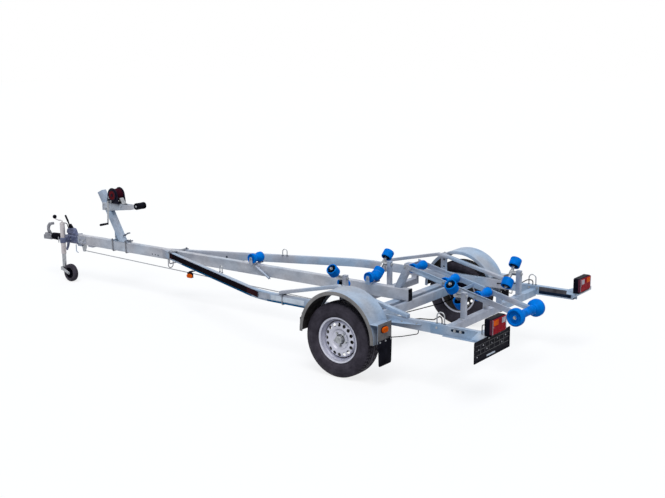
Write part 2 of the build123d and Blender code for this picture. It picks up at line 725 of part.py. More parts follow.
# U-bolts hold the rails' front ends and the winch post's foot to the beam.
clamp_rod = 6.0
guide_rod = 5.0
guide_ahead = 3007.0
guide_half = beam_width / 2 + guide_rod
guide_bottom = 340.0
rail_clamp_half = rail_line_y(rail_clamp_ahead - clamp_rod) + rail_half_across + seat_gap
post_clamp_aheads = (3893.0, 3677.0)
with BuildPart() as frame_clamps:
    for ahead, half, top, bottom in (
        (post_clamp_aheads[0], beam_width / 2, beam_top + 16, beam_bottom),
        (post_clamp_aheads[1], beam_width / 2, beam_top + 16, beam_bottom),
        (rail_clamp_ahead, rail_clamp_half, rail_top + 6, beam_bottom - 6),
    ):
        with BuildSketch(Plane.YZ.offset(at(ahead) - clamp_rod)):
            with Locations((0, (top + bottom - 2 * clamp_rod) / 2)):
                Rectangle(2 * half + 4 * clamp_rod, top - bottom + 2 * clamp_rod)
            with Locations((0, (top + bottom) / 2 + 10)):
                Rectangle(2 * half, top - bottom + 20, mode=Mode.SUBTRACT)
        extrude(amount=2 * clamp_rod)
    # rod loop below the beam that the brake rod runs through
    with BuildLine(Plane.YZ.offset(at(guide_ahead))) as guide_path:
        Line((-guide_half, rail_bottom), (-guide_half, guide_bottom + guide_half))
        ThreePointArc((-guide_half, guide_bottom + guide_half), (0, guide_bottom), (guide_half, guide_bottom + guide_half))
        Line((guide_half, guide_bottom + guide_half), (guide_half, rail_bottom))
    with BuildSketch(Plane(origin=guide_path.line @ 0, z_dir=guide_path.line % 0)):
        Circle(guide_rod)
    sweep(path=guide_path.line)
    # flat strap across both rails under the front clamp
    with BuildSketch(Plane.XY.offset(rail_top)):
        with Locations((at(rail_clamp_ahead), 0)):
            Rectangle(50, 2 * rail_clamp_half + 40)
            Rectangle(60, beam_width, mode=Mode.SUBTRACT)
    extrude(amount=5)
frame_clamps.part.label = "frame_clamps"
export_step(frame_clamps.part, "parts/frame_clamps.step")

# ================================================================ winch post and bow stop
post_lean = (winch_post_top_ahead - winch_post_foot_ahead) / (winch_post_top_z - beam_top)
post_foot_thick = 8.0


def post_ahead(z):
    """Station of the winch post's middle at a height."""
    return winch_post_foot_ahead + post_lean * (z - beam_top)


post_wall = 4.0
post_foot_z = beam_top + post_foot_thick
post_rear_foot = Vector(at(post_ahead(beam_top) - winch_post_depth / 2), post_foot_z)
post_front_foot = Vector(at(post_ahead(beam_top) + winch_post_depth / 2), post_foot_z)
post_rear_head = Vector(at(winch_post_top_ahead - winch_post_depth / 2 + 4), winch_post_top_z + 14)
post_front_head = Vector(at(winch_post_top_ahead + winch_post_depth / 2), winch_post_top_z - 20)
with BuildPart() as winch_post:
    with BuildSketch(Plane.XZ.offset(-winch_post_width / 2)):
        with BuildLine():
            Polyline(post_rear_foot, post_front_foot, post_front_head, post_rear_head, close=True)
        make_face()
    extrude(amount=winch_post_width)
    # the inside runs parallel to the outer faces and opens at the head
    wall_step = Vector(post_wall * 1.2, 0)
    with BuildSketch(Plane.XZ.offset(-winch_post_width / 2 + post_wall)):
        with BuildLine():
            Polyline(
                post_rear_foot + wall_step,
                post_front_foot - wall_step,
                post_front_head - wall_step + (post_front_head - post_front_foot) * 0.1,
                post_rear_head + wall_step + (post_rear_head - post_rear_foot) * 0.05,
                close=True,
            )
        make_face()
    extrude(amount=winch_post_width - 2 * post_wall, mode=Mode.SUBTRACT)
    # foot plate on the beam and the brace ahead of the post
    with BuildSketch(Plane.XY.offset(beam_top)):
        with Locations((at((post_clamp_aheads[0] + post_clamp_aheads[1]) / 2), 0)):
            Rectangle(post_clamp_aheads[0] - post_clamp_aheads[1] + 50, beam_width + 4)
        with Locations(*[(at(ahead), side * (beam_width / 2 + clamp_rod)) for ahead in post_clamp_aheads for side in (-1, 1)]):
            Circle(clamp_rod + 8.5, mode=Mode.SUBTRACT)
    extrude(amount=post_foot_thick)
    with BuildSketch(Plane.XZ.offset(-4)):
        with BuildLine():
            Polyline(
                (at(post_ahead(beam_top) + winch_post_depth / 2 - 2), beam_top + post_foot_thick),
                (at(post_clamp_aheads[0] - 12), beam_top + post_foot_thick),
                (at(post_ahead(beam_top + 150) + winch_post_depth / 2 + 6), beam_top + 120),
                (at(post_ahead(beam_top + 150) + winch_post_depth / 2 - 2), beam_top + 150),
                close=True,
            )
        make_face()
    extrude(amount=8)
winch_post.part.label = "winch_post"
export_step(winch_post.part, "parts/winch_post.step")

# Two side plates clamp the post and reach back to the bow roller; a shelf on them carries the winch.
arm_sheet = 5.0
arm_half = winch_post_width / 2 + arm_sheet
arm_front_ahead = winch_post_top_ahead - 35
arm_front_depth = 84.0
arm_waist_ahead = bow_roller_ahead + 110
arm_waist_depth = 42.0
arm_lug = 22.0
arm_top = bow_arm_z + 34
bow_roller_z = arm_top + 8
winch_ahead = winch_post_top_ahead - 238
shelf_back = winch_ahead - 192
shelf_front = post_ahead(arm_top - 8) - winch_post_depth / 2 - 8
with BuildPart() as bow_stop_arm:
    for side in (LEFT, RIGHT):
        with BuildSketch(Plane.XZ.offset(-side * winch_post_width / 2)):
            with BuildLine():
                Polyline(
                    (at(arm_front_ahead), arm_top + 6),
                    (at(arm_front_ahead), arm_top - arm_front_depth),
                    (at(arm_front_ahead - 120), arm_top - arm_front_depth),
                    (at(arm_waist_ahead), arm_top - arm_waist_depth),
                    (at(bow_roller_ahead - arm_lug), bow_roller_z - arm_lug),
                    (at(bow_roller_ahead - arm_lug), bow_roller_z + arm_lug),
                    (at(bow_roller_ahead + arm_lug), bow_roller_z + arm_lug),
                    (at(arm_waist_ahead + 20), arm_top + 6),
                    close=True,
                )
            make_face()
            with Locations((at(bow_roller_ahead), bow_roller_z)):
                Circle(shaft_radius + bore_clearance, mode=Mode.SUBTRACT)
        extrude(amount=-side * arm_sheet)
    with BuildSketch(Plane.XY.offset(arm_top - 8)):
        with Locations((at((shelf_back + shelf_front) / 2), 0)):
            Rectangle(shelf_front - shelf_back, winch_post_width)
    extrude(amount=5)
bow_stop_arm.part.label = "bow_stop_arm"
export_step(bow_stop_arm.part, "parts/bow_stop_arm.step")

# Winch: two cheek plates on the shelf, a drum of strap, a gear wheel and a pinion with its crank.
drum_over_arm = 99.0
drum_x = at(winch_ahead)
drum_z = arm_top + drum_over_arm
cheek_y = 50.0
cheek_thick = 4.0
cheek_radius = 81.0
drum_shaft_radius = 9.0
pinion_before_drum = 24.0
pinion_under_drum = 72.5
pinion_x = drum_x + pinion_before_drum
pinion_z = drum_z - pinion_under_drum
pinion_shaft_radius = 7.0
gear_thick = 6.0
gear_radius = 61.0
pinion_radius = 14.5
with BuildPart() as winch_frame:
    for side in (LEFT, RIGHT):
        with BuildSketch(Plane.XZ.offset(-side * cheek_y)):
            with Locations((drum_x, drum_z)):
                Circle(cheek_radius)
            with Locations((drum_x, arm_top + 10)):
                Rectangle(190, 8)
            make_hull()
            with Locations((drum_x, drum_z)):
                Circle(drum_shaft_radius + bore_clearance, mode=Mode.SUBTRACT)
            with Locations((pinion_x, pinion_z)):
                Circle(pinion_shaft_radius + bore_clearance, mode=Mode.SUBTRACT)
        extrude(amount=-side * cheek_thick)
    with BuildSketch(Plane.XY.offset(arm_top + 6)):
        with Locations((drum_x, 0)):
            Rectangle(190, 2 * (cheek_y + cheek_thick))
    extrude(amount=4)
winch_frame.part.label = "winch_frame"
export_step(winch_frame.part, "parts/winch_frame.step")

with BuildPart() as winch_drum:
    with BuildSketch(cross_plane(drum_x, 0, drum_z)):
        with Locations((29, 0)):
            Rectangle(58, 2 * cheek_y - 14)
        for side in (LEFT, RIGHT):
            with Locations((36, side * (cheek_y - 5))):
                Rectangle(72, 4)
        with Locations((drum_shaft_radius / 2, 4)):
            Rectangle(drum_shaft_radius, 2 * cheek_y + 32)
        with Locations((gear_radius / 2, cheek_y + cheek_thick + 4 + gear_thick / 2)):
            Rectangle(gear_radius, gear_thick)
    revolve(axis=Axis((drum_x, 0, drum_z), (0, 1, 0)))
winch_drum.part.label = "winch_drum"
export_step(winch_drum.part, "parts/winch_drum.step")

crank_y = 96.0
crank_reach = 243.0
crank_end_x = pinion_x + 22
crank_end_z = pinion_z - crank_reach
crank_thick = 6.0
grip_length = 108.0
grip_radius = 13.0
with BuildPart() as winch_crank:
    with BuildSketch(Plane.XZ.offset(-cheek_y)):
        with Locations((pinion_x, pinion_z)):
            Circle(pinion_shaft_radius)
    extrude(amount=-(crank_y + crank_thick + 6 - cheek_y))
    with BuildSketch(Plane.XZ.offset(-(cheek_y + cheek_thick + 3))):
        with Locations((pinion_x, pinion_z)):
            Circle(pinion_radius)
    extrude(amount=-(gear_thick + 4))
    with BuildSketch(Plane.XZ.offset(-crank_y)):
        with Locations((pinion_x, pinion_z)):
            Circle(17)
        with Locations((crank_end_x, crank_end_z)):
            Circle(13)
        make_hull()
    extrude(amount=-crank_thick)
    with BuildSketch(Plane.XZ.offset(-(crank_y + crank_thick))):
        with Locations((crank_end_x, crank_end_z)):
            Circle(grip_radius)
    extrude(amount=-grip_length)
winch_crank.part.label = "winch_crank"
export_step(winch_crank.part, "parts/winch_crank.step")

with BuildPart() as bow_roller:
    with BuildSketch(cross_plane(at(bow_roller_ahead), 0, bow_roller_z)):
        with Locations((bow_roller_radius / 2, 0)):
            Rectangle(bow_roller_radius, bow_roller_length)
        for side in (LEFT, RIGHT):
            with Locations((shaft_radius + bow_roller_radius / 2, side * (winch_post_width / 2 + arm_sheet / 2))):
                Rectangle(bow_roller_radius, arm_sheet + 2 * seat_gap, mode=Mode.SUBTRACT)
    revolve(axis=Axis((at(bow_roller_ahead), 0, bow_roller_z), (0, 1, 0)))
bow_roller.part.label = "bow_roller"
export_step(bow_roller.part, "parts/bow_roller.step")

# ================================================================ overrun hitch
housing_back = at(beam_front)
housing_front = at(4800.0)
sleeve_length = 140.0
sleeve_thick = 5.0
sleeve_height = 80.0
flange_thick = 10.0
flange_over = 15.0
body_length = 190.0
body_width = 74.0
body_height = 96.0
body_raise = 4.0
neck_radius = 40.0
lever_cheek_y = 9.0
lever_cheek_thick = 8.0
relay_half = 5.0
relay_bottom = 324.0
with BuildPart() as overrun_housing:
    with BuildSketch(Plane.YZ.offset(housing_back)):
        with Locations((0, (beam_top + beam_bottom) / 2)):
            RectangleRounded(beam_width + 2 * flange_over, beam_height + 10, 10)
    extrude(amount=flange_thick)
    # side plates bolted along the beam's end
    for side in (LEFT, RIGHT):
        with BuildSketch(Plane.XZ.offset(-side * beam_width / 2)):
            with Locations((housing_back - sleeve_length / 2, (beam_top + beam_bottom) / 2)):
                Rectangle(sleeve_length, sleeve_height)
        extrude(amount=-side * sleeve_thick)
    # cast body, narrower toward the top, and the round neck of the draw shaft
    with BuildSketch(Plane.YZ.offset(housing_back + flange_thick)):
        with Locations((0, shaft_z + body_raise)):
            RectangleRounded(body_width, body_height, 16)
    extrude(amount=body_length)
    with BuildSketch(Plane.YZ.offset(housing_back + flange_thick)):
        with Locations((0, shaft_z + body_raise + body_height / 2 + 8)):
            Rectangle(body_width - 26, 24)
    extrude(amount=body_length - 72)
    with BuildSketch(Plane.YZ.offset(housing_back + flange_thick + body_length)):
        with Locations((0, shaft_z)):
            Circle(neck_radius)
    extrude(amount=housing_front - housing_back - flange_thick - body_length)
    with BuildSketch(Plane.YZ.offset(housing_front)):
        with Locations((0, shaft_z)):
            Circle(draw_radius + seat_gap)
    extrude(amount=-80, mode=Mode.SUBTRACT)
    # cheeks for the parking brake lever
    for side in (LEFT, RIGHT):
        with BuildSketch(Plane.XZ.offset(-side * lever_cheek_y)):
            with BuildLine():
                Polyline(
                    (housing_back + 90, shaft_z + 50),
                    (housing_back + 200, shaft_z + 50),
                    (housing_back + 196, shaft_z + 96),
                    (housing_back + 176, shaft_z + 118),
                    (housing_back + 140, shaft_z + 118),
                    (housing_back + 118, shaft_z + 96),
                    close=True,
                )
            make_face()
        extrude(amount=-side * lever_cheek_thick)
    # relay lever below the body that pulls the brake rod
    with BuildSketch(Plane.XZ.offset(-relay_half)):
        with BuildLine():
            Polyline(
                (housing_back + 188, shaft_z - 40),
                (housing_back + 238, shaft_z - 40),
                (housing_back + 244, shaft_z - 90),
                (housing_back + 266, relay_bottom + 14),
                (housing_back + 258, relay_bottom),
                (housing_back + 238, relay_bottom),
                (housing_back + 208, shaft_z - 96),
                close=True,
            )
        make_face()
    extrude(amount=2 * relay_half)
overrun_housing.part.label = "overrun_housing"
export_step(overrun_housing.part, "parts/overrun_housing.step")

bellows_end = at(4985.0)
bellows_folds = 10
with BuildPart() as draw_bellows:
    with BuildSketch(Plane.XZ):
        with BuildLine():
            Polyline(
                (housing_front, shaft_z + draw_radius + seat_gap),
                (housing_front, shaft_z + 44),
                *[
                    (housing_front + 8 + 17 * fold + half, shaft_z + (46 if half else 37) - 0.7 * fold)
                    for fold in range(bellows_folds)
                    for half in (0, 8.5)
                ],
                (bellows_end, shaft_z + 37),
                (bellows_end, shaft_z + draw_radius + seat_gap),
                close=True,
            )
        make_face()
    revolve(axis=Axis((0, 0, shaft_z), (1, 0, 0)))
draw_bellows.part.label = "draw_bellows"
export_step(draw_bellows.part, "parts/draw_bellows.step")

ball_x = nose_x - ball_behind_nose
head_bottom = 428.0
head_top = 500.0
head_root_ahead = 5004.0
head_root_length = 24.0
cup_top = head_top - 24
sleeve_radius = 35.0
head_chamfer = 7.0
with BuildPart() as coupling_head:
    # pressed head: a cup over the ball, running back into the sleeve
    with BuildSketch(Plane.XY.offset(head_bottom)):
        with Locations((ball_x, 0)):
            Circle(ball_behind_nose)
        with Locations((at(head_root_ahead), 0)):
            Rectangle(head_root_length, 60)
        make_hull()
    extrude(amount=cup_top - head_bottom)
    with BuildSketch(Plane.XY.offset(cup_top)):
        with Locations((ball_x - 4, 0)):
            Circle(ball_behind_nose - 12)
        with Locations((at(head_root_ahead), 0)):
            Rectangle(head_root_length, 50)
        make_hull()
    extrude(amount=head_top - cup_top)
    chamfer(coupling_head.edges().filter_by(Plane.XY).group_by(Axis.Z)[-1], head_chamfer)
    with BuildSketch(Plane.YZ.offset(housing_front - 40)):
        with Locations((0, shaft_z)):
            Circle(draw_radius)
    extrude(amount=bellows_end - housing_front + 50)
    with BuildSketch(Plane.YZ.offset(bellows_end)):
        with Locations((0, shaft_z)):
            Circle(sleeve_radius)
    extrude(amount=30)
    with BuildSketch(Plane.XY.offset(head_bottom)):
        with Locations((ball_x, 0)):
            Circle(ball_radius)
    extrude(amount=26, mode=Mode.SUBTRACT)
    with Locations((ball_x, 0, head_bottom + 26)):
        Sphere(ball_radius, mode=Mode.SUBTRACT)
coupling_head.part.label = "coupling_head"
export_step(coupling_head.part, "parts/coupling_head.step")

handle_half = 14.0
handle_foot_ahead = head_root_ahead + 26
with BuildPart() as coupling_handle:
    with BuildSketch(Plane.XZ):
        with BuildLine():
            Polyline(
                (at(handle_foot_ahead), head_top),
                (at(handle_foot_ahead + 48), head_top),
                (at(handle_foot_ahead + 62), head_top + 34),
                (at(handle_foot_ahead + 58), head_top + 84),
                (at(handle_foot_ahead + 20), head_top + 124),
                (at(handle_foot_ahead - 52), head_top + 136),
                (at(handle_foot_ahead - 58), head_top + 106),
                (at(handle_foot_ahead), head_top + 94),
                (at(handle_foot_ahead + 26), head_top + 68),
                (at(handle_foot_ahead + 32), head_top + 38),
                (at(handle_foot_ahead + 18), head_top + 10),
                (at(handle_foot_ahead), head_top + 8),
                close=True,
            )
        make_face()
    extrude(amount=handle_half, both=True)
coupling_handle.part.label = "coupling_handle"
export_step(coupling_handle.part, "parts/coupling_handle.step")

with BuildPart() as handbrake_lever:
    with BuildSketch(Plane.XZ):
        with BuildLine():
            Polyline(
                (at(4634), shaft_z + 62),
                (at(4676), shaft_z + 62),
                (at(4694), shaft_z + 124),
                (at(4712), shaft_z + 184),
                (at(4754), shaft_z + 262),
                (at(4738), shaft_z + 272),
                (at(4692), shaft_z + 206),
                (at(4660), shaft_z + 150),
                (at(4638), shaft_z + 108),
                close=True,
            )
        make_face()
    extrude(amount=lever_cheek_y, both=True)
handbrake_lever.part.label = "handbrake_lever"
export_step(handbrake_lever.part, "parts/handbrake_lever.step")

# ================================================================ jockey wheel
jockey_x = at(jockey_ahead)
jockey_tube_bottom = 314.0
jockey_tube_top = 668.0
jockey_wheel_x = jockey_x - jockey_trail
clamp_z = 474.0
with BuildPart() as jockey_clamp:
    with BuildSketch(Plane.XY.offset(clamp_z - 30)):
        with Locations((jockey_x, jockey_y)):
            Circle(jockey_outer_radius + 8)
        with Locations((jockey_x, (37 + jockey_y) / 2)):
            Rectangle(44, jockey_y - 37)
        with Locations((jockey_x, jockey_y)):
            Circle(jockey_outer_radius, mode=Mode.SUBTRACT)
    extrude(amount=60)
jockey_clamp.part.label = "jockey_clamp"
export_step(jockey_clamp.part, "parts/jockey_clamp.step")

with BuildPart() as jockey_tube:
    with BuildSketch(Plane.XY.offset(jockey_tube_bottom)):
        with Locations((jockey_x, jockey_y)):
            Circle(jockey_outer_radius)
            Circle(jockey_inner_radius + seat_gap, mode=Mode.SUBTRACT)
    extrude(amount=jockey_tube_top - jockey_tube_bottom)
    with BuildSketch(Plane.XY.offset(jockey_tube_top - 8)):
        with Locations((jockey_x, jockey_y)):
            Circle(jockey_outer_radius)
    extrude(amount=20)
    with BuildSketch(Plane.XY.offset(jockey_tube_top + 12)):
        with Locations((jockey_x, jockey_y)):
            Circle(8)
    extrude(amount=26)
    with BuildSketch(Plane.XY.offset(jockey_tube_top + 30)):
        with Locations((jockey_x, jockey_y)):
            Circle(8)
        with Locations((jockey_x + 130, jockey_y)):
            Circle(8)
        make_hull()
    extrude(amount=8)
    with BuildSketch(Plane.XY.offset(jockey_tube_top + 38)):
        with Locations((jockey_x + 130, jockey_y)):
            Circle(10)
    extrude(amount=46)
jockey_tube.part.label = "jockey_tube"
export_step(jockey_tube.part, "parts/jockey_tube.step")

swivel_pin_radius = 11.0
leg_bottom = 165.0
leg_top = 500.0
with BuildPart() as jockey_leg:
    with BuildSketch(Plane.XY.offset(leg_bottom)):
        with Locations((jockey_x, jockey_y)):
            Circle(jockey_inner_radius)
    extrude(amount=leg_top - leg_bottom)
    with BuildSketch(Plane.XY.offset(leg_bottom)):
        with Locations((jockey_x, jockey_y)):
            Circle(swivel_pin_radius + bore_clearance)
    extrude(amount=45, mode=Mode.SUBTRACT)
jockey_leg.part.label = "jockey_leg"
export_step(jockey_leg.part, "parts/jockey_leg.step")

fork_gap = 5.0
fork_thick = 4.0
fork_top = leg_bottom - 0.5
with BuildPart() as jockey_fork:
    with BuildSketch(Plane.XY.offset(fork_top - 42)):
        with Locations((jockey_x + 12, jockey_y)):
            Rectangle(26, jockey_wheel_width + 2 * fork_gap + 2 * fork_thick)
    extrude(amount=42)
    with BuildSketch(Plane.XY.offset(fork_top)):
        with Locations((jockey_x, jockey_y)):
            Circle(swivel_pin_radius)
    extrude(amount=42)
    with BuildSketch(Plane.XY.offset(fork_top - 6)):
        with Locations((jockey_x, jockey_y)):
            Circle(20)
    extrude(amount=6)
    for side in (LEFT, RIGHT):
        with BuildSketch(Plane.XZ.offset(-jockey_y - side * (jockey_wheel_width / 2 + fork_gap))):
            with Locations((jockey_x + 3, fork_top - 20)):
                Circle(20)
            with Locations((jockey_wheel_x, jockey_wheel_radius)):
                Circle(17)
            make_hull()
        extrude(amount=-side * fork_thick)
    with BuildSketch(Plane.XZ.offset(-jockey_y)):
        with Locations((jockey_wheel_x, jockey_wheel_radius)):
            Circle(shaft_radius)
    extrude(amount=jockey_wheel_width / 2 + fork_gap + fork_thick + 6, both=True)
jockey_fork.part.label = "jockey_fork"
export_step(jockey_fork.part, "parts/jockey_fork.step")

with BuildPart() as jockey_wheel:
    with BuildSketch(cross_plane(jockey_wheel_x, jockey_y, jockey_wheel_radius)):
        with Locations(((jockey_wheel_radius + 62) / 2, 0)):
            Rectangle(jockey_wheel_radius - 62, jockey_wheel_width)
        fillet(vertices().group_by(Axis.Z)[-1], 16)
        with Locations((45, 0)):
            Rectangle(50, 8)
        with Locations(((shaft_radius + bore_clearance + 24) / 2, 0)):
            Rectangle(24 - shaft_radius - bore_clearance, jockey_wheel_width + 2 * fork_gap - 2)
    revolve(axis=Axis((jockey_wheel_x, 0, jockey_wheel_radius), (0, 1, 0)))
jockey_wheel.part.label = "jockey_wheel"
export_step(jockey_wheel.part, "parts/jockey_wheel.step")

# ================================================================ brake rod
rod_radius = 5.0
equaliser_half = 46.0
equaliser_thick = 6.0
rod_front_ahead = 4430.0
rod_front_z = 357.0
rod_back_ahead = 250.0
rod_back_z = 262.0
rod_hanger_length = 80.0
rod_front = (at(rod_front_ahead), rod_front_z)
rod_back = (at(rod_back_ahead), rod_back_z)
with BuildPart() as brake_rod:
    rod_run = Vector(rod_front[0] - rod_back[0], 0, rod_front[1] - rod_back[1])
    with BuildSketch(Plane(origin=(rod_back[0], 0, rod_back[1]), z_dir=rod_run)):
        Circle(rod_radius)
    extrude(amount=rod_run.length)
    with BuildSketch(Plane.XZ.offset(-6)):
        with BuildLine():
            Polyline(
                (at(rod_front_ahead - rod_hanger_length / 2), beam_bottom - 30),
                (at(rod_front_ahead - rod_hanger_length / 2), beam_bottom),
                (at(rod_front_ahead + rod_hanger_length / 2), beam_bottom),
                (at(rod_front_ahead + 20), rod_front_z - 12),
                (at(rod_front_ahead - 12), rod_front_z - 12),
                close=True,
            )
        make_face()
    extrude(amount=12)
    with BuildSketch(Plane.XZ.offset(-4)):
        with BuildLine():
            Polyline(
                (at(axle_tube_ahead + axle_tube_size / 2), axle_tube_z + 20),
                (at(axle_tube_ahead + axle_tube_size / 2), axle_tube_z - 20),
                (at(rod_back_ahead - 20), rod_back_z - 17),
                (at(rod_back_ahead + 25), rod_back_z - 17),
                (at(rod_back_ahead + 25), rod_back_z + 23),
                close=True,
            )
        make_face()
    extrude(amount=8)
    # equaliser across the rod's rear end, which pulls both brake cables
    with BuildSketch(Plane.YZ.offset(at(rod_back_ahead + 25))):
        with Locations((0, rod_back_z)):
            RectangleRounded(2 * equaliser_half, 26, 8)
    extrude(amount=equaliser_thick)
brake_rod.part.label = "brake_rod"
export_step(brake_rod.part, "parts/brake_rod.step")

# Cables that the frame holds: a brake cable to each wheel, the lamps' cables along the rails, and
# the side reflectors' leads.
cable_radius = 4.5
lead_radius = 3.5
plate_face_y = drum_inner_y - plate_gap - brake_plate
cable_runs = [
    # name, radius, bend radius, points: station, across, height
    (
        "brake",
        cable_radius,
        70.0,
        (
            (rod_back_ahead + 25, equaliser_half - 12, rod_back_z),
            (rod_back_ahead - 100, equaliser_half - 12, rod_back_z),
            (rod_back_ahead - 190, arm_inner_y - 170, rod_back_z - 12),
            (rod_back_ahead - 190, plate_face_y, rod_back_z - 12),
        ),
    ),
    (
        "lamp",
        cable_radius,
        24.0,
        (
            (arch_back_ahead + 40, rail_inner_y, rail_top - 30),
            (arch_back_ahead + 40, rail_inner_y - 34, rail_top - 30),
            (arch_back_ahead - 70, rail_inner_y - 34, rail_top - 6),
            (rear_eye_ahead + 96, rail_inner_y - 34, rail_top + 6),
            (rear_eye_ahead + 34, rail_inner_y - 20, rail_top + 46),
            (rear_eye_ahead - 8, rail_y - 6, rail_top + 46),
            (rear_eye_ahead - 8, rail_y - 6, rail_top),
        ),
    ),
    (
        "reflector",
        lead_radius,
        18.0,
        (
            (flap_plate_ahead, guard_inner_y + 88, flap_plate_bottom + 30),
            (flap_plate_ahead - 30, guard_inner_y + 88, flap_plate_bottom + 30),
            (flap_plate_ahead - 80, guard_inner_y + 30, flap_plate_bottom + 30),
            (gusset_back_ahead + 40, rail_y + 4, rail_bottom - 34),
            (gusset_back_ahead + 40, rail_y + 4, rail_bottom),
        ),
    ),
    (
        "tail",
        lead_radius,
        16.0,
        (
            (lamp_front_ahead, lamp_y + 78, lamp_bottom + 76),
            (lamp_front_ahead + 36, lamp_y + 78, lamp_bottom + 76),
            (lamp_front_ahead + 36, lamp_y + 78, lamp_bottom),
        ),
    ),
]
with BuildPart() as cables:
    for name, radius, bend, points in cable_runs:
        for side in (LEFT, RIGHT):
            with BuildLine() as run:
                FilletPolyline(*[(at(ahead), side * across, z) for ahead, across, z in points], radius=bend)
            with BuildSketch(Plane(origin=run.line @ 0, z_dir=run.line % 0)):
                Circle(radius)
            sweep(path=run.line)
cables.part.label = "cables"
export_step(cables.part, "parts/cables.step")

# ================================================================ keel cradle and keel rollers
keel_roller_aheads = (-108.0, -436.0, -752.0)
stern_roller_ahead = -1156.0
brace_size = 50.0
bar_out = cradle_bar_y + cradle_bar_thick / 2
bar_in = cradle_bar_y - cradle_bar_thick / 2
with BuildPart() as keel_cradle:
    for side in (LEFT, RIGHT):
        with BuildSketch(Plane.XZ.offset(-side * bar_in)):
            with BuildLine():
                Polyline(
                    (at(cradle_front_ahead), cradle_top(cradle_front_ahead)),
                    (at(cradle_back_ahead), cradle_top(cradle_back_ahead)),
                    (at(cradle_back_ahead), cradle_top(cradle_back_ahead) - cradle_bar_height),
                    (at(cradle_front_ahead), cradle_top(cradle_front_ahead) - cradle_bar_height),
                    close=True,
                )
            make_face()
            # lug down to the rear cross tube
            with BuildLine():
                Polyline(
                    (at(rear_cross_ahead - 26), rear_cross_top),
                    (at(rear_cross_ahead + 26), rear_cross_top),
                    (at(rear_cross_ahead + 26), cradle_top(rear_cross_ahead) - 20),
                    (at(rear_cross_ahead - 26), cradle_top(rear_cross_ahead) - 20),
                    close=True,
                )
            make_face()
            with Locations(*[(at(ahead), cradle_mid(ahead)) for ahead in (*keel_roller_aheads, stern_roller_ahead)]):
                Circle(shaft_radius + bore_clearance, mode=Mode.SUBTRACT)
        extrude(amount=-side * cradle_bar_thick)
    for ahead in (cradle_front_ahead - 10, -600.0):
        with BuildSketch(Plane.YZ.offset(at(ahead))):
            with Locations((0, cradle_mid(ahead) - 4)):
                Rectangle(2 * bar_in, 30)
        extrude(amount=6)
    # brace tube from the end of the beam up to the cradle's front
    brace_top_z = cradle_mid(cradle_front_ahead - 10) - 4
    brace_foot_x = at(92)
    brace_head_x = at(cradle_front_ahead - 10) + 6 + brace_size / 2
    with BuildSketch(Plane.XZ.offset(-brace_size / 2)):
        with BuildLine():
            Polyline(
                (brace_foot_x - 32, beam_top),
                (brace_foot_x + 32, beam_top),
                (brace_head_x + 25, brace_top_z + 15),
                (brace_head_x - 25, brace_top_z + 15),
                (brace_head_x - 25, brace_top_z - 25),
                close=True,
            )
        make_face()
    extrude(amount=brace_size)
keel_cradle.part.label = "keel_cradle"
export_step(keel_cradle.part, "parts/keel_cradle.step")

# Hourglass keel rollers turn on their own shafts in the cradle bars.
for number, ahead in enumerate(keel_roller_aheads, start=1):
    with BuildPart() as keel_roller:
        with BuildSketch(cross_plane(at(ahead), 0, cradle_mid(ahead))):
            with BuildLine():
                Polyline(
                    (0, -keel_roller_length / 2),
                    (keel_end_radius, -keel_roller_length / 2),
                    (keel_end_radius, -keel_roller_length / 2 + 26),
                    (keel_waist_radius, -18),
                    (keel_waist_radius, 18),
                    (keel_end_radius, keel_roller_length / 2 - 26),
                    (keel_end_radius, keel_roller_length / 2),
                    (0, keel_roller_length / 2),
                    close=True,
                )
            make_face()
            with Locations((shaft_radius / 2, 0)):
                Rectangle(shaft_radius, 2 * bar_out + 16)
        revolve(axis=Axis((at(ahead), 0, cradle_mid(ahead)), (0, 1, 0)))
    keel_roller.part.label = f"keel_roller_{number}"
    export_step(keel_roller.part, f"parts/keel_roller_{number}.step")

# The stern roller: a waist between the cradle bars and a wide disc outboard of each bar.
stern_z = cradle_mid(stern_roller_ahead)
with BuildPart() as stern_roller:
    with BuildSketch(cross_plane(at(stern_roller_ahead), 0, stern_z)):
        with BuildLine():
            Polyline(
                (0, -stern_roller_half),
                (stern_disc_radius - 12, -stern_roller_half),
                (stern_disc_radius, -stern_roller_half + 14),
                (stern_disc_radius, -stern_roller_half + stern_disc_width - 30),
                (stern_waist_radius + 8, -stern_roller_half + stern_disc_width),
                (stern_waist_radius, -40),
                (stern_waist_radius, 40),
                (stern_waist_radius + 8, stern_roller_half - stern_disc_width),
                (stern_disc_radius, stern_roller_half - stern_disc_width + 30),
                (stern_disc_radius, stern_roller_half - 14),
                (stern_disc_radius - 12, stern_roller_half),
                (0, stern_roller_half),
                close=True,
            )
        make_face()
        for side in (LEFT, RIGHT):
            with Locations((shaft_radius + 40, side * cradle_bar_y)):
                Rectangle(80, cradle_bar_thick + 2 * seat_gap, mode=Mode.SUBTRACT)
    revolve(axis=Axis((at(stern_roller_ahead), 0, stern_z), (0, 1, 0)))
stern_roller.part.label = "stern_roller"
export_step(stern_roller.part, "parts/stern_roller.step")

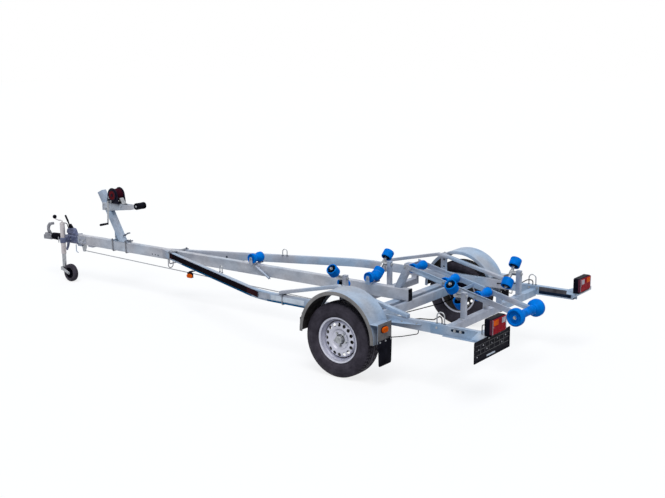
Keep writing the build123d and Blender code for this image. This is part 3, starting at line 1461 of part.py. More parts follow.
# Two more keel rollers stand in brackets on the central beam.
beam_roller_aheads = (1786.0, 376.0)
beam_roller_z = beam_top + 60
ear_gap = 3.0
ear_thick = 5.0
ear_radius = 17.0
bracket_length = 50.0
bracket_thick = 4.0
strap_run = 190.0
strap_width = 26.0
strap_drop = 124.0
ear_y = beam_roller_length / 2 + ear_gap
with BuildPart() as roller_brackets:
    for ahead in beam_roller_aheads:
        with BuildSketch(Plane.XY.offset(beam_top)):
            with Locations((at(ahead), 0)):
                Rectangle(bracket_length, 2 * (ear_y + ear_thick))
        extrude(amount=bracket_thick)
        for side in (LEFT, RIGHT):
            with BuildSketch(Plane.XZ.offset(-side * ear_y)):
                with Locations((at(ahead), beam_roller_z)):
                    Circle(ear_radius)
                with Locations((at(ahead), beam_top + bracket_thick / 2)):
                    Rectangle(bracket_length, bracket_thick)
                make_hull()
                with Locations((at(ahead), beam_roller_z)):
                    Circle(shaft_radius + bore_clearance, mode=Mode.SUBTRACT)
            extrude(amount=-side * ear_thick)
    # straps down the beam's sides under the front bracket
    for side in (LEFT, RIGHT):
        with BuildSketch(Plane.XZ.offset(-side * beam_width / 2)):
            with BuildLine():
                Polyline(
                    (at(beam_roller_aheads[0] + strap_width / 2), beam_top),
                    (at(beam_roller_aheads[0] + strap_width / 2), beam_top + bracket_thick),
                    (at(beam_roller_aheads[0] - strap_width), beam_top + bracket_thick),
                    (at(beam_roller_aheads[0] - strap_width), beam_top),
                    (at(beam_roller_aheads[0] - strap_run - strap_width), beam_top - strap_drop),
                    (at(beam_roller_aheads[0] - strap_run), beam_top - strap_drop),
                    close=True,
                )
            make_face()
        extrude(amount=-side * bracket_thick)
roller_brackets.part.label = "roller_brackets"
export_step(roller_brackets.part, "parts/roller_brackets.step")

for number, ahead in enumerate(beam_roller_aheads, start=1):
    with BuildPart() as beam_roller:
        with BuildSketch(cross_plane(at(ahead), 0, beam_roller_z)):
            with BuildLine():
                Polyline(
                    (0, -beam_roller_length / 2),
                    (beam_roller_radius, -beam_roller_length / 2),
                    (beam_roller_radius, -beam_roller_length / 2 + 34),
                    (beam_roller_waist, -14),
                    (beam_roller_waist, 14),
                    (beam_roller_radius, beam_roller_length / 2 - 34),
                    (beam_roller_radius, beam_roller_length / 2),
                    (0, beam_roller_length / 2),
                    close=True,
                )
            make_face()
            with Locations((shaft_radius / 2, 0)):
                Rectangle(shaft_radius, 2 * (ear_y + ear_thick) + 14)
        revolve(axis=Axis((at(ahead), 0, beam_roller_z), (0, 1, 0)))
    beam_roller.part.label = f"beam_roller_{number}"
    export_step(beam_roller.part, f"parts/beam_roller_{number}.step")

# ================================================================ wobble rollers
# Each set: post on a cross member, arm pivoting on a bolt along X, tilted shaft, two rollers.
wobble_sets = [
    # name, station of the roller shaft, pivot across, pivot height, tilt, foot height
    ("front", 500.0, 352.0, 643.0, 42.0, beam_bottom),
    ("rear", -770.0, 481.5, 696.0, 48.0, rear_cross_top),
]
pivot_bolt_radius = 9.0
post_foot_length = 58.0
post_foot_width = 92.0
post_foot_plate = 6.0
boss_radius = 20.0
with BuildPart() as wobble_posts:
    for name, ahead, across, height, tilt, foot in wobble_sets:
        for side in (LEFT, RIGHT):
            with BuildSketch(Plane.XY.offset(foot)):
                with Locations((at(ahead - post_behind), side * across)):
                    Rectangle(post_size, post_size)
            extrude(amount=height + 30 - foot)
            with BuildSketch(Plane.XY.offset(foot)):
                with Locations((at(ahead - post_behind), side * across)):
                    Rectangle(post_foot_length, post_foot_width)
            extrude(amount=post_foot_plate)
            with BuildSketch(Plane.YZ.offset(at(ahead - post_behind) - post_size)):
                with Locations((side * across, height)):
                    Circle(pivot_bolt_radius + bore_clearance)
            extrude(amount=2 * post_size, mode=Mode.SUBTRACT)
wobble_posts.part.label = "wobble_posts"
export_step(wobble_posts.part, "parts/wobble_posts.step")

shaft_over = 10.0
for name, ahead, across, height, tilt, foot in wobble_sets:
    post_front = at(ahead - post_behind) + post_size / 2
    # the shaft lies in a plane across the trailer, outer end up; its own z runs outward and up
    shaft_dir = Vector(0, 1, 0).rotate(Axis.X, tilt)
    shaft_frame = Plane(origin=(at(ahead), across, height), x_dir=(1, 0, 0), z_dir=shaft_dir)
    with BuildPart() as wobble_arm:
        with BuildSketch(Plane.YZ.offset(post_front - post_size - 14)):
            with Locations((across, height)):
                Circle(pivot_bolt_radius)
        extrude(amount=at(ahead) - post_front + post_size + 14)
        with BuildSketch(Plane.YZ.offset(post_front + seat_gap)):
            with Locations((across, height)):
                Circle(boss_radius)
        extrude(amount=at(ahead) - post_front + 14)
        with BuildSketch(shaft_frame.offset(-wobble_half_spacing - wobble_roller_width / 2 - shaft_over)):
            Circle(shaft_radius)
        extrude(amount=2 * wobble_half_spacing + wobble_roller_width + 2 * shaft_over)
        with BuildSketch(shaft_frame.offset(-wobble_half_spacing + wobble_roller_width / 2 + seat_gap)):
            Circle(14)
        extrude(amount=2 * wobble_half_spacing - wobble_roller_width - 2 * seat_gap)
    with BuildPart() as wobble_rollers:
        for end in (-1, 1):
            near = end * wobble_half_spacing - wobble_roller_width / 2
            with BuildSketch(shaft_frame.offset(near)):
                Circle(wobble_roller_radius)
            extrude(amount=wobble_roller_width)
            for recess_at in (near, near + wobble_roller_width - 24):
                with BuildSketch(shaft_frame.offset(recess_at)):
                    Circle(wobble_roller_radius - 11)
                    Circle(19, mode=Mode.SUBTRACT)
                extrude(amount=24, mode=Mode.SUBTRACT)
            with BuildSketch(shaft_frame.offset(near)):
                Circle(shaft_radius + bore_clearance)
            extrude(amount=wobble_roller_width, mode=Mode.SUBTRACT)
    wobble_arm.part.label = f"wobble_arm_{name}_left"
    export_step(wobble_arm.part, f"parts/wobble_arm_{name}_left.step")
    wobble_rollers.part.label = f"wobble_rollers_{name}_left"
    export_step(wobble_rollers.part, f"parts/wobble_rollers_{name}_left.step")
    with BuildPart() as wobble_arm_right:
        add(wobble_arm.part.mirror(Plane.XZ))
    wobble_arm_right.part.label = f"wobble_arm_{name}_right"
    export_step(wobble_arm_right.part, f"parts/wobble_arm_{name}_right.step")
    with BuildPart() as wobble_rollers_right:
        add(wobble_rollers.part.mirror(Plane.XZ))
    wobble_rollers_right.part.label = f"wobble_rollers_{name}_right"
    export_step(wobble_rollers_right.part, f"parts/wobble_rollers_{name}_right.step")
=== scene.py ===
import json
import math

import bmesh
import bpy
from mathutils import Matrix, Vector


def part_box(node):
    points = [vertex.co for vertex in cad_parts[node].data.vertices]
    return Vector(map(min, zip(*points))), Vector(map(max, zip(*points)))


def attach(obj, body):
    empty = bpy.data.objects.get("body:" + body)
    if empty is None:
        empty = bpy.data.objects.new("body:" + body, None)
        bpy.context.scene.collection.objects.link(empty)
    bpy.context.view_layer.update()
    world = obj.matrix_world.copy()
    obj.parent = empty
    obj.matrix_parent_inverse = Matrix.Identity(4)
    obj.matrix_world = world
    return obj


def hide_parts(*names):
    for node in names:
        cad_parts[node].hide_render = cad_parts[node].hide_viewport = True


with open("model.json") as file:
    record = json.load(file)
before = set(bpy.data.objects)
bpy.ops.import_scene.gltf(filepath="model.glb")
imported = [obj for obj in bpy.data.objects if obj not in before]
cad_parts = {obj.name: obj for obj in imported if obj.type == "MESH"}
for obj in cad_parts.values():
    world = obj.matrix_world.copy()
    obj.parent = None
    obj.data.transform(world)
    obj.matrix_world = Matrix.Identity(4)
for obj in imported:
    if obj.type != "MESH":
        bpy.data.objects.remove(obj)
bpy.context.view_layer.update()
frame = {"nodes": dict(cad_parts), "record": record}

bl_info = {
    "name": "Boat trailer dressing",
    "version": (1, 0, 0),
    "blender": (4, 5, 0),
    "location": "3D View > Sidebar > Boat trailer",
    "description": "Finishes and fine shapes of a roller boat trailer on its packed frame",
    "category": "Object",
}

# Shapes are made in millimetres. A point is its station ahead of the wheel axle, its distance
# to the left and its height. TO_METRES carries a finished shape into the frame's own space.
HUB_LOW, HUB_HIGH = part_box("wheel_hub_left")
TO_METRES = Matrix.Translation(((HUB_LOW.x + HUB_HIGH.x) / 2, 0, 0)) @ Matrix.Scale(0.001, 4)
AXLE_Z = (HUB_LOW.z + HUB_HIGH.z) / 2 * 1000
WHEEL_Y = 968
SIDES = (("left", 1), ("right", -1))
UP = Vector((0, 0, 1))
RAIL_TOP, RAIL_BOTTOM, RAIL_Y, RAIL_HALF = 535, 455, 800, 20
RAIL_FRONT, RAIL_BEND = 3120, 1050
RAIL_SLANT = RAIL_Y / (RAIL_FRONT - RAIL_BEND)
BEAM_TOP, BEAM_BOTTOM = 540, 430
GUARD_AHEAD, GUARD_Z, GUARD_RADIUS = -22, 365, 370
FLAP_AHEAD = GUARD_AHEAD - 416
DRAW_Z = 470
SHAFT = 7.9
CRADLE_SLOPE = 0.238


def rail_line_y(ahead):
    """Middle of a side rail on its slanting front stretch."""
    return (RAIL_FRONT - ahead) * RAIL_SLANT


def cradle_middle(ahead):
    """Height of the middle of a keel cradle bar."""
    return 545 + CRADLE_SLOPE * (ahead + 1090) - 25 * math.hypot(1, CRADLE_SLOPE)


def cad_corners(node):
    """Low and high corner of a CAD node's box, in millimetres."""
    return [TO_METRES.inverted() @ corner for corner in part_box(node)]


# ---------------------------------------------------------------- settings
def number(name, description, default, low=0, high=10, **options):
    return bpy.props.FloatProperty(name=name, description=description, default=default, min=low, max=high, **options)


def count(name, description, default, low, high):
    return bpy.props.IntProperty(name=name, description=description, default=default, min=low, max=high)


def colour(name, description, default):
    return bpy.props.FloatVectorProperty(
        name=name, description=description, default=default, size=3, min=0, max=1, subtype="COLOR"
    )


class FinishSettings(bpy.types.PropertyGroup):
    galvanised_light: colour("Galvanised light", "Light patches of the zinc coat", (0.4, 0.46, 0.555))
    galvanised_dark: colour("Galvanised dark", "Dull patches of the zinc coat", (0.275, 0.32, 0.4))
    zinc_plate: colour("Zinc plate", "Bright plated fittings", (0.44, 0.455, 0.48))
    roller_blue: colour("Roller blue", "Blue polyurethane of the rollers", (0, 0.165, 0.62))
    wheel_silver: colour("Wheel silver", "Lacquer of the road wheels", (0.6, 0.6, 0.69))
    housing_grey: colour("Housing grey", "Cast overrun housing", (0.125, 0.14, 0.235))
    stripe_black: colour("Stripe black", "Long dark stripe on the rails", (0.011, 0.008, 0.011))
    stripe_blue: colour("Stripe blue", "Low blue stripe on the rails", (0.002, 0.085, 0.2))
    stripe_red: colour("Stripe red", "Dark red ends of the long stripe", (0.04, 0.014, 0.017))
    amber: colour("Amber", "Indicator lenses and side markers", (0.8, 0.115, 0.004))
    red: colour("Red", "Tail and brake lenses", (0.34, 0, 0.01))


class WheelSettings(bpy.types.PropertyGroup):
    steps: count("Steps", "Tread blocks round a tyre", 120, 40, 240)
    groove_depth: number("Groove depth", "Depth of the tread grooves", 0.007, unit="LENGTH")
    vent_radius: number("Vent radius", "Radius of the round holes in a wheel disc", 0.0156, unit="LENGTH")
    vent_count: count("Vents", "Holes in a wheel disc", 16, 4, 24)
    guard_sheet: number("Mudguard sheet", "Thickness of the mudguard's sheet", 0.0025, unit="LENGTH")
    guard_lip: number("Mudguard lip", "Depth of the turned-down edge", 0.030, unit="LENGTH")


class RollerSettings(bpy.types.PropertyGroup):
    flutes: count("Flutes", "Shallow grooves round a side roller", 24, 6, 60)
    flute_depth: number("Flute depth", "Depth of the shallow grooves", 0.0012, unit="LENGTH")
    spokes: count("Spokes", "Webs inside a side roller", 8, 3, 12)


class StageSettings(bpy.types.PropertyGroup):
    focal_length: number("Focal length", "Lens of the camera in millimetres", 53.513, 10, 300)
    sky_level: number("Sky level", "Strength of the even light from all round", 0.64, 0, 5)
    sun_level: number("Sun level", "Strength of the wide soft light from overhead", 2.15)
    sun_spread: number("Sun spread", "Width of the soft light overhead", math.radians(34), 0, math.pi, subtype="ANGLE")


SETTINGS = (
    ("trailer_finish", FinishSettings),
    ("trailer_wheels", WheelSettings),
    ("trailer_rollers", RollerSettings),
    ("trailer_stage", StageSettings),
)


# ---------------------------------------------------------------- mesh helpers
def put(where, direction):
    """Matrix that carries the origin to a point and +Z to a direction."""
    return Matrix.Translation(where) @ Vector(direction).to_track_quat("Z", "Y").to_matrix().to_4x4()


def across_place(ahead, height, across=0):
    """Frame of a roller lying across the trailer: its Z runs to the left."""
    return Matrix.Translation((ahead, across, height)) @ Matrix.Rotation(-math.pi / 2, 4, "X")


def moved(bm, matrix, verts=None):
    bmesh.ops.transform(bm, matrix=matrix, verts=bm.verts if verts is None else verts)


def verts_of(geometry):
    return [item for item in geometry if isinstance(item, bmesh.types.BMVert)]


def edges_of(geometry):
    return [item for item in geometry if isinstance(item, bmesh.types.BMEdge)]


def disc(bm, where, direction, radius, depth, sides=24, top_radius=None):
    """Solid round boss standing on a point."""
    made = bmesh.ops.create_cone(
        bm, cap_ends=True, segments=sides, radius1=radius, radius2=radius if top_radius is None else top_radius,
        depth=depth, matrix=put(where, direction) @ Matrix.Translation((0, 0, depth / 2)),
    )
    return made["verts"]


def rod(bm, start, end, radius, sides=16):
    """Round bar between two points."""
    run = Vector(end) - Vector(start)
    return disc(bm, start, run, radius, run.length, sides)


def block(bm, low, high):
    """Square block from its low and high corner."""
    low, high = Vector(low), Vector(high)
    matrix = Matrix.Translation((low + high) / 2) @ Matrix.Diagonal((*(high - low), 1))
    return bmesh.ops.create_cube(bm, size=1, matrix=matrix)["verts"]


def slab(bm, outline, depth):
    """Flat outline pushed out along a vector."""
    face = bm.faces.new([bm.verts.new(point) for point in outline])
    top = verts_of(bmesh.ops.extrude_face_region(bm, geom=[face], use_keep_orig=True)["geom"])
    bmesh.ops.translate(bm, vec=depth, verts=top)
    return list(face.verts) + top


def rounded_slab(bm, outline, depth, corner, segments=4):
    """As slab, with its corners rounded in the flat."""
    verts = slab(bm, outline, depth)
    run = Vector(depth).normalized()
    edges = {edge for vert in verts for edge in vert.link_edges}
    along = [e for e in edges if abs((e.verts[0].co - e.verts[1].co).normalized().dot(run)) > 0.999]
    bmesh.ops.bevel(bm, geom=along, offset=corner, segments=segments, profile=0.5, affect="EDGES", material=-1)


def oval(bm, middle, half_run, half_height, depth):
    """Flat plate with round ends, from its middle, half its length and half its height."""
    run, up = Vector(half_run), UP * half_height
    made = bmesh.new()
    corners = [middle - run - up, middle + run - up, middle + run + up, middle - run + up]
    rounded_slab(made, corners, depth, half_height * 0.94, 7)
    join(bm, made)


def join(bm, other):
    """Add another shape to a shape."""
    holder = bpy.data.meshes.new("holder")
    other.to_mesh(holder)
    other.free()
    bm.from_mesh(holder)
    bpy.data.meshes.remove(holder)


def spun(bm, profile, steps=48, closed=True, place=None):
    """Full turn of a profile given as (radius, along), about local Z."""
    verts = [bm.verts.new((radius, 0, along)) for radius, along in profile]
    edges = [bm.edges.new(pair) for pair in zip(verts, verts[1:])]
    if closed:
        edges.append(bm.edges.new((verts[-1], verts[0])))
    before = set(bm.verts)
    bmesh.ops.spin(bm, geom=verts + edges, cent=(0, 0, 0), axis=UP, angle=math.tau, steps=steps, use_merge=True)
    made = verts + [vert for vert in bm.verts if vert not in before]
    poles = [vert for vert in made if math.hypot(vert.co.x, vert.co.y) < 1e-4]
    bmesh.ops.remove_doubles(bm, verts=poles, dist=1e-3)
    if place:
        moved(bm, place, [vert for vert in made if vert.is_valid])


def shaft(bm, half, sides, *caps):
    """Bar along local Z, with the same washers and nuts standing on both its ends."""
    rod(bm, (0, 0, -half), (0, 0, half), SHAFT, sides)
    for end in (-1, 1):
        for along, *boss in caps:
            disc(bm, (0, 0, end * along), UP * end, *boss)


def both_ways(half):
    """Profile from one end to the other, from its half on the left."""
    return [(r, -a) for r, a in half] + [(r, a) for r, a in reversed(half)]


def slice_number(face, steps):
    """Which of a number of equal slices round Z a face is in."""
    centre = face.calc_center_median()
    return round(math.atan2(centre.y, centre.x) % math.tau / (math.tau / steps) - 0.5)


def bent_rod(bm, points, radius, bend, sides=10, steps=5):
    """Round bar along straight runs with its corners bent."""
    points = [Vector(point) for point in points]
    here = points[0].copy()
    heading = (points[1] - here).normalized()
    start = put(here, heading)
    verts = bmesh.ops.create_circle(bm, cap_ends=True, segments=sides, radius=radius, matrix=start)["verts"]
    edges = list({edge for vert in verts for edge in vert.link_edges})
    for target, after in zip(points[1:], points[2:] + [None]):
        onward = (after - target).normalized() if after else heading
        turn = heading.angle(onward)
        stop = target - heading * bend * math.tan(turn / 2)
        out = bmesh.ops.extrude_edge_only(bm, edges=edges)["geom"]
        verts = verts_of(out)
        edges = [edge for edge in edges_of(out) if edge.verts[0] in verts and edge.verts[1] in verts]
        bmesh.ops.translate(bm, vec=stop - here, verts=verts)
        here = stop
        if turn > 1e-4:
            axis = heading.cross(onward).normalized()
            centre = here + axis.cross(heading) * bend
            out = bmesh.ops.spin(
                bm, geom=verts + edges, cent=centre, axis=axis, angle=turn, steps=steps, use_merge=False
            )["geom_last"]
            verts, edges = verts_of(out), edges_of(out)
            here = centre + Matrix.Rotation(turn, 3, axis) @ (here - centre)
            heading = onward
    bmesh.ops.contextual_create(bm, geom=edges)


def u_bolt(bm, ahead, start, end, top, bottom, radius, bend, sides=12, steps=5):
    """Bar bent down, across from start to end, and up again."""
    corners = ((start, top), (start, bottom), (end, bottom), (end, top))
    bent_rod(bm, [(ahead, across, height) for across, height in corners], radius, bend, sides, steps)


def hex_bolt(bm, where, direction, size, stud=0):
    """Washer and six-sided head on a face; size is half the head's width."""
    where, direction = Vector(where), Vector(direction).normalized()
    disc(bm, where - direction * 0.4, direction, size * 1.35, 2.4, 20)
    disc(bm, where + direction * 2, direction, size * 1.14, size * 0.78, 6, size * 1.06)
    if stud:
        disc(bm, where + direction * (2 + size * 0.7), direction, size * 0.52, stud, 12)


def softened(node):
    """Copy of a CAD node's mesh, in metres, with its flat faces joined and ready for rounded edges."""
    bm = bmesh.new()
    bm.from_mesh(frame["nodes"][node].data)
    bmesh.ops.remove_doubles(bm, verts=bm.verts, dist=2e-5)
    bmesh.ops.dissolve_limit(
        bm, angle_limit=math.radians(0.8), use_dissolve_boundaries=False, verts=bm.verts, edges=bm.edges
    )
    return bm


def placed(data, name):
    """New object in the scene from a mesh, a lamp or a camera."""
    made = bpy.data.objects.new(name, data)
    bpy.context.scene.collection.objects.link(made)
    return made


def object_of(bm, name):
    """New object in the scene from a shape."""
    mesh = bpy.data.meshes.new(name)
    bm.to_mesh(mesh)
    bm.free()
    return placed(mesh, name)


def settle(bm, name, look, body="chassis", replaces=(), slot=None, edge=0, segments=2, smooth=35, further=()):
    """Object from a shape in metres, with its edges rounded, riding on its body."""
    made = object_of(bm, name)
    mesh = made.data
    for worn in (look, *further):
        mesh.materials.append(FINISH[worn])
    mesh.shade_smooth()
    if edge:
        rounding = made.modifiers.new("rounded_edges", "BEVEL")
        rounding.width = edge / 1000
        rounding.segments = segments
        rounding.limit_method = "ANGLE"
        rounding.angle_limit = math.radians(smooth)
        rounding.use_clamp_overlap = False
        rounding.harden_normals = True
        rounding.material = -1
    else:
        mesh.set_sharp_from_angle(angle=math.radians(smooth))
    slot = slot or SLOT_OF[look]
    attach(made, body)
    if replaces:
        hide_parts(*replaces)


def dressed(node, name, look, **options):
    """Piece that is a CAD node's own shape with its edges rounded."""
    settle(softened(node), name, look, replaces=(node,), **options)


def piece(bm, name, look, place=Matrix(), **options):
    """Finished object from a shape in millimetres about its place, its faces turned outward."""
    moved(bm, TO_METRES @ place)
    bmesh.ops.recalc_face_normals(bm, faces=bm.faces)
    settle(bm, name, look, **options)


def blocks(name, look, corners, both=False, **options):
    """Piece of square blocks, each from its low and high corner, on one side or on both."""
    bm = bmesh.new()
    for side in (1, -1) if both else (1,):
        for (x0, y0, z0), (x1, y1, z1) in corners:
            block(bm, (x0, side * y0, z0), (x1, side * y1, z1))
    piece(bm, name, look, **options)


def turned(name, look, profile, place, steps=48, closed=True, **options):
    """Piece spun from a profile about the Z of a place."""
    bm = bmesh.new()
    spun(bm, profile, steps, closed)
    piece(bm, name, look, place, **options)


# ---------------------------------------------------------------- finishes
FINISH = {}
WORN = {
    # material slot: the finish of its plain parts, then its other finishes
    "galvanised_steel": ("galvanised", "galvanised_sheet", "galvanised_front", "carrier_inside"),
    "zinc_plated": ("bright_zinc", "worn_zinc", "clamp_steel", "tube_zinc"),
    "black_steel": ("black_paint",),
    "cast_housing": ("cast_grey",),
    "silver_wheel": ("silver_lacquer",),
    "tyre": ("tyre_rubber",),
    "rubber": ("black_rubber",),
    "blue_roller": ("blue_urethane",),
    "black_plastic": ("black_plastic", "board_ribs", "dark_recess", "label_pale",
                      "stripe_black", "stripe_blue", "stripe_red", "stripe_silver"),
    "amber_lens": ("amber_lens",),
    "red_lens": ("red_lens", "clear_lens", "lens_side"),
    "red_strap": ("red_webbing", "gear_red"),
}
SLOT_OF = {look: slot for slot, looks in WORN.items() for look in looks}


def add_node(tree, kind, inputs=(), **attributes):
    """Shader node. An input given as a node's output is linked to it, any other is set."""
    made = tree.nodes.new("ShaderNode" + kind)
    for name, value in attributes.items():
        setattr(made, name, value)
    for name, value in dict(inputs).items():
        feed(tree, made.inputs[name], value)
    return made


def feed(tree, socket, value):
    """Link a node's output to a socket, or set the socket's value."""
    if isinstance(value, bpy.types.NodeSocket):
        tree.links.new(value, socket)
    else:
        socket.default_value = value


def blend(tree, factor, stops, tones):
    """Ramp between two colours, each at its own place."""
    made = add_node(tree, "ValToRGB", {"Fac": factor})
    for end, stop, tone in zip(made.color_ramp.elements, stops, tones):
        end.position, end.color = stop, (*tone, 1)
    return made.outputs["Color"]


def finish(name, dark, light, scale, rough, metal, bump, fineness, specular, stretch=(1, 1, 1), spangle=0,
           ramp=(0.35, 0.65), coat=0, tint=()):
    """Mottled surface between two colours, rougher where it is darker, with a fine relief."""
    FINISH[name] = material = bpy.data.materials.new(name)
    material.use_nodes = True
    tree = material.node_tree
    surface = tree.nodes["Principled BSDF"].inputs
    place = add_node(tree, "TexCoord").outputs["Object"]
    spread = add_node(tree, "Mapping", {"Vector": place, "Scale": stretch}).outputs["Vector"]
    patches = add_node(tree, "TexNoise", {"Vector": spread, "Scale": scale, "Detail": 4, "Roughness": 0.55})
    patches = patches.outputs["Fac"]
    shade = blend(tree, patches, ramp, (dark, light))
    # Large random patches tinted warm or cool: painted reflections of the ground and the sky.
    if tint:
        reflection_drift = add_node(tree, "TexNoise", {"Vector": place, "Scale": 2.3, "Detail": 2, "Roughness": 0.6})
        painted_reflection = blend(tree, reflection_drift.outputs["Fac"], (0.40, 0.62), tint)
        shade = add_node(tree, "VectorMath", {0: shade, 1: painted_reflection}, operation="MULTIPLY").outputs["Vector"]
    if spangle:
        cells = add_node(tree, "TexVoronoi", {"Vector": place, "Scale": 95, "Randomness": 1})
        grey = add_node(tree, "RGBToBW", {"Color": cells.outputs["Color"]})
        level = add_node(tree, "MapRange", {"Value": grey.outputs["Val"], "To Min": 1 - spangle, "To Max": 1 + spangle})
        factor = level.outputs["Result"]
        shade = add_node(tree, "VectorMath", {0: shade, "Scale": factor}, operation="SCALE").outputs["Vector"]
    rougher = add_node(tree, "MapRange", {"Value": patches, "To Min": rough[1], "To Max": rough[0]})
    for socket, value in (("Base Color", shade), ("Metallic", metal), ("Roughness", rougher.outputs["Result"]),
                          ("Specular IOR Level", specular), ("Coat Weight", coat),
                          ("Coat Roughness", 0.12 if coat else 0.03)):
        feed(tree, surface[socket], value)
    if bump:
        relieved(tree, add_node(tree, "TexNoise", {"Vector": spread, "Scale": fineness, "Detail": 3}), bump)
    return tree, place


def relieved(tree, pattern, strength):
    """Fine relief from a pattern, on a material's surface."""
    relief = add_node(tree, "Bump", {"Height": pattern.outputs["Fac"], "Strength": strength, "Distance": 0.001})
    tree.links.new(relief.outputs["Normal"], tree.nodes["Principled BSDF"].inputs["Normal"])


def ribbed_lens(name, tone, turn, pitch):
    """Moulded lens: glossy coloured plastic with fine prisms across it."""
    tree, place = finish(name, tinted(tone, 0.7), tone, 22, (0.16, 0.32), 0, 0, 0, 0.01)
    prisms = {"Vector": place, "Scale": pitch}
    relieved(tree, add_node(tree, "TexWave", prisms, wave_type="BANDS", bands_direction=turn), 0.5)


def tinted(tone, factor):
    """Colour made lighter or darker."""
    return tuple(min(1.0, channel * factor) for channel in tone)


ROLLED = (0.7, 1.3, 1.3)
COAT = (0.25, 0.72)
FINISHES = (
    # name, dark colour, light colour, scale, roughness from light to dark, metal, relief, its fineness, specular,
    # options; a colour with a name is a setting times a factor
    # The warm and cool tint patches on the galvanised finishes are painted reflections of the ground and the sky,
    # placed at random.
    ("galvanised", ("galvanised_dark", 1), ("galvanised_light", 1), 9, (0.36, 0.54), 0.28, 0.1, 150, 0.3,
     dict(stretch=ROLLED, spangle=0.07, ramp=COAT, tint=((1.09, 0.985, 0.93), (0.86, 1, 1.1)))),
    ("galvanised_sheet", ("galvanised_dark", 0.92), ("galvanised_light", 0.98), 6, (0.34, 0.52), 0.28, 0.08, 170, 0.3,
     dict(spangle=0.09, ramp=COAT, tint=((1.05, 0.99, 0.94), (0.76, 0.97, 1.14)))),
    # Lighter, warmer copy of the galvanised finish: painted light on the drawbar beam and the bow stop arm.
    ("galvanised_front", ("galvanised_dark", 1.12), ("galvanised_light", 1.2), 9, (0.36, 0.54), 0.22, 0.1, 150, 0.3,
     dict(stretch=ROLLED, spangle=0.07, ramp=COAT, tint=((1.15, 0.99, 0.87), (1.06, 1, 0.94)))),
    # Darker warm grey of the mudguards' outer lip: painted shade with a painted reflection of the ground.
    ("guard_edge", (0.155, 0.148, 0.146), (0.225, 0.215, 0.212), 8, (0.4, 0.6), 0.2, 0.08, 170, 0.3,
     dict(spangle=0.09)),
    # Darker grey on the rear faces of the mudflap brackets: painted shade.
    ("flap_plate", (0.075, 0.07, 0.072), (0.15, 0.14, 0.142), 16, (0.42, 0.6), 0.25, 0.08, 170, 0.3,
     dict(spangle=0.09)),
    # Near-black brown inside the mudguards: painted shade with dirt.
    ("guard_underside", (0.03, 0.026, 0.026), (0.075, 0.066, 0.064), 16, (0.6, 0.8), 0, 0.5, 210, 0.02, {}),
    # Dark grey painted shade on the inner faces of the rail tails.
    ("carrier_inside", (0.05, 0.046, 0.052), (0.115, 0.11, 0.125), 12, (0.45, 0.62), 0.2, 0.1, 200, 0.02, {}),
    # Near-black painted shade for hollows, holes and roller ends, where only shade falls.
    ("dark_recess", (0.004, 0.01, 0.024), (0.01, 0.022, 0.048), 20, (0.5, 0.7), 0, 0.1, 160, 0.02, {}),
    ("bright_zinc", ("zinc_plate", 0.7), ("zinc_plate", 1), 30, (0.24, 0.42), 0.7, 0.05, 300, 0.5, {}),
    ("worn_zinc", (0.17, 0.175, 0.2), (0.3, 0.3, 0.33), 34, (0.32, 0.52), 0.45, 0.1, 300, 0.5, {}),
    ("clamp_steel", (0.085, 0.1, 0.13), (0.17, 0.19, 0.235), 26, (0.34, 0.52), 0.4, 0.08, 260, 0.5, {}),
    ("tube_zinc", (0.42, 0.385, 0.39), (0.62, 0.57, 0.58), 22, (0.3, 0.46), 0.4, 0.05, 300, 0.5,
     dict(stretch=(1, 1, 0.4))),
    ("black_paint", (0.005, 0.005, 0.013), (0.012, 0.011, 0.025), 18, (0.3, 0.48), 0, 0.06, 220, 0.06, {}),
    ("cast_grey", ("housing_grey", 0.65), ("housing_grey", 1.25), 30, (0.42, 0.64), 0.2, 0.4, 260, 0.3, {}),
    # Brown cast iron of the hubs; the same colour is painted shade at the back of the wheel discs and inside the rim
    # barrels.
    ("iron_brown", (0.045, 0.04, 0.038), (0.1, 0.09, 0.085), 24, (0.5, 0.7), 0.4, 0.4, 200, 0.3, {}),
    ("silver_lacquer", ("wheel_silver", 0.86), ("wheel_silver", 1), 9, (0.26, 0.4), 0.45, 0.03, 420, 0.5,
     dict(coat=0.12)),
    ("tyre_rubber", (0.028, 0.024, 0.033), (0.054, 0.047, 0.062), 14, (0.46, 0.66), 0, 0.28, 330, 0.1, {}),
    ("black_rubber", (0.0035, 0.0035, 0.006), (0.009, 0.009, 0.014), 16, (0.55, 0.8), 0, 0.25, 260, 0.02, {}),
    ("black_plastic", (0.002, 0.002, 0.005), (0.006, 0.006, 0.012), 40, (0.32, 0.52), 0, 0.18, 420, 0.02, {}),
    ("board_ribs", (0.006, 0.006, 0.012), (0.018, 0.018, 0.028), 60, (0.14, 0.3), 0, 0.1, 300, 0.3, {}),
    ("blue_urethane", ("roller_blue", 0.78), ("roller_blue", 1.1), 15, (0.38, 0.56), 0, 0.06, 240, 0.02, {}),
    ("red_webbing", (0.016, 0.004, 0.01), (0.06, 0.007, 0.014), 40, (0.7, 0.9), 0, 0.7, 420, 0.02,
     dict(stretch=(1, 6, 1))),
    ("gear_red", (0.06, 0.006, 0.01), (0.15, 0.012, 0.016), 30, (0.4, 0.6), 0, 0.1, 300, 0.02, {}),
    ("lens_side", (0.07, 0.018, 0.034), (0.125, 0.03, 0.048), 30, (0.2, 0.36), 0, 0.1, 300, 0.02, {}),
)


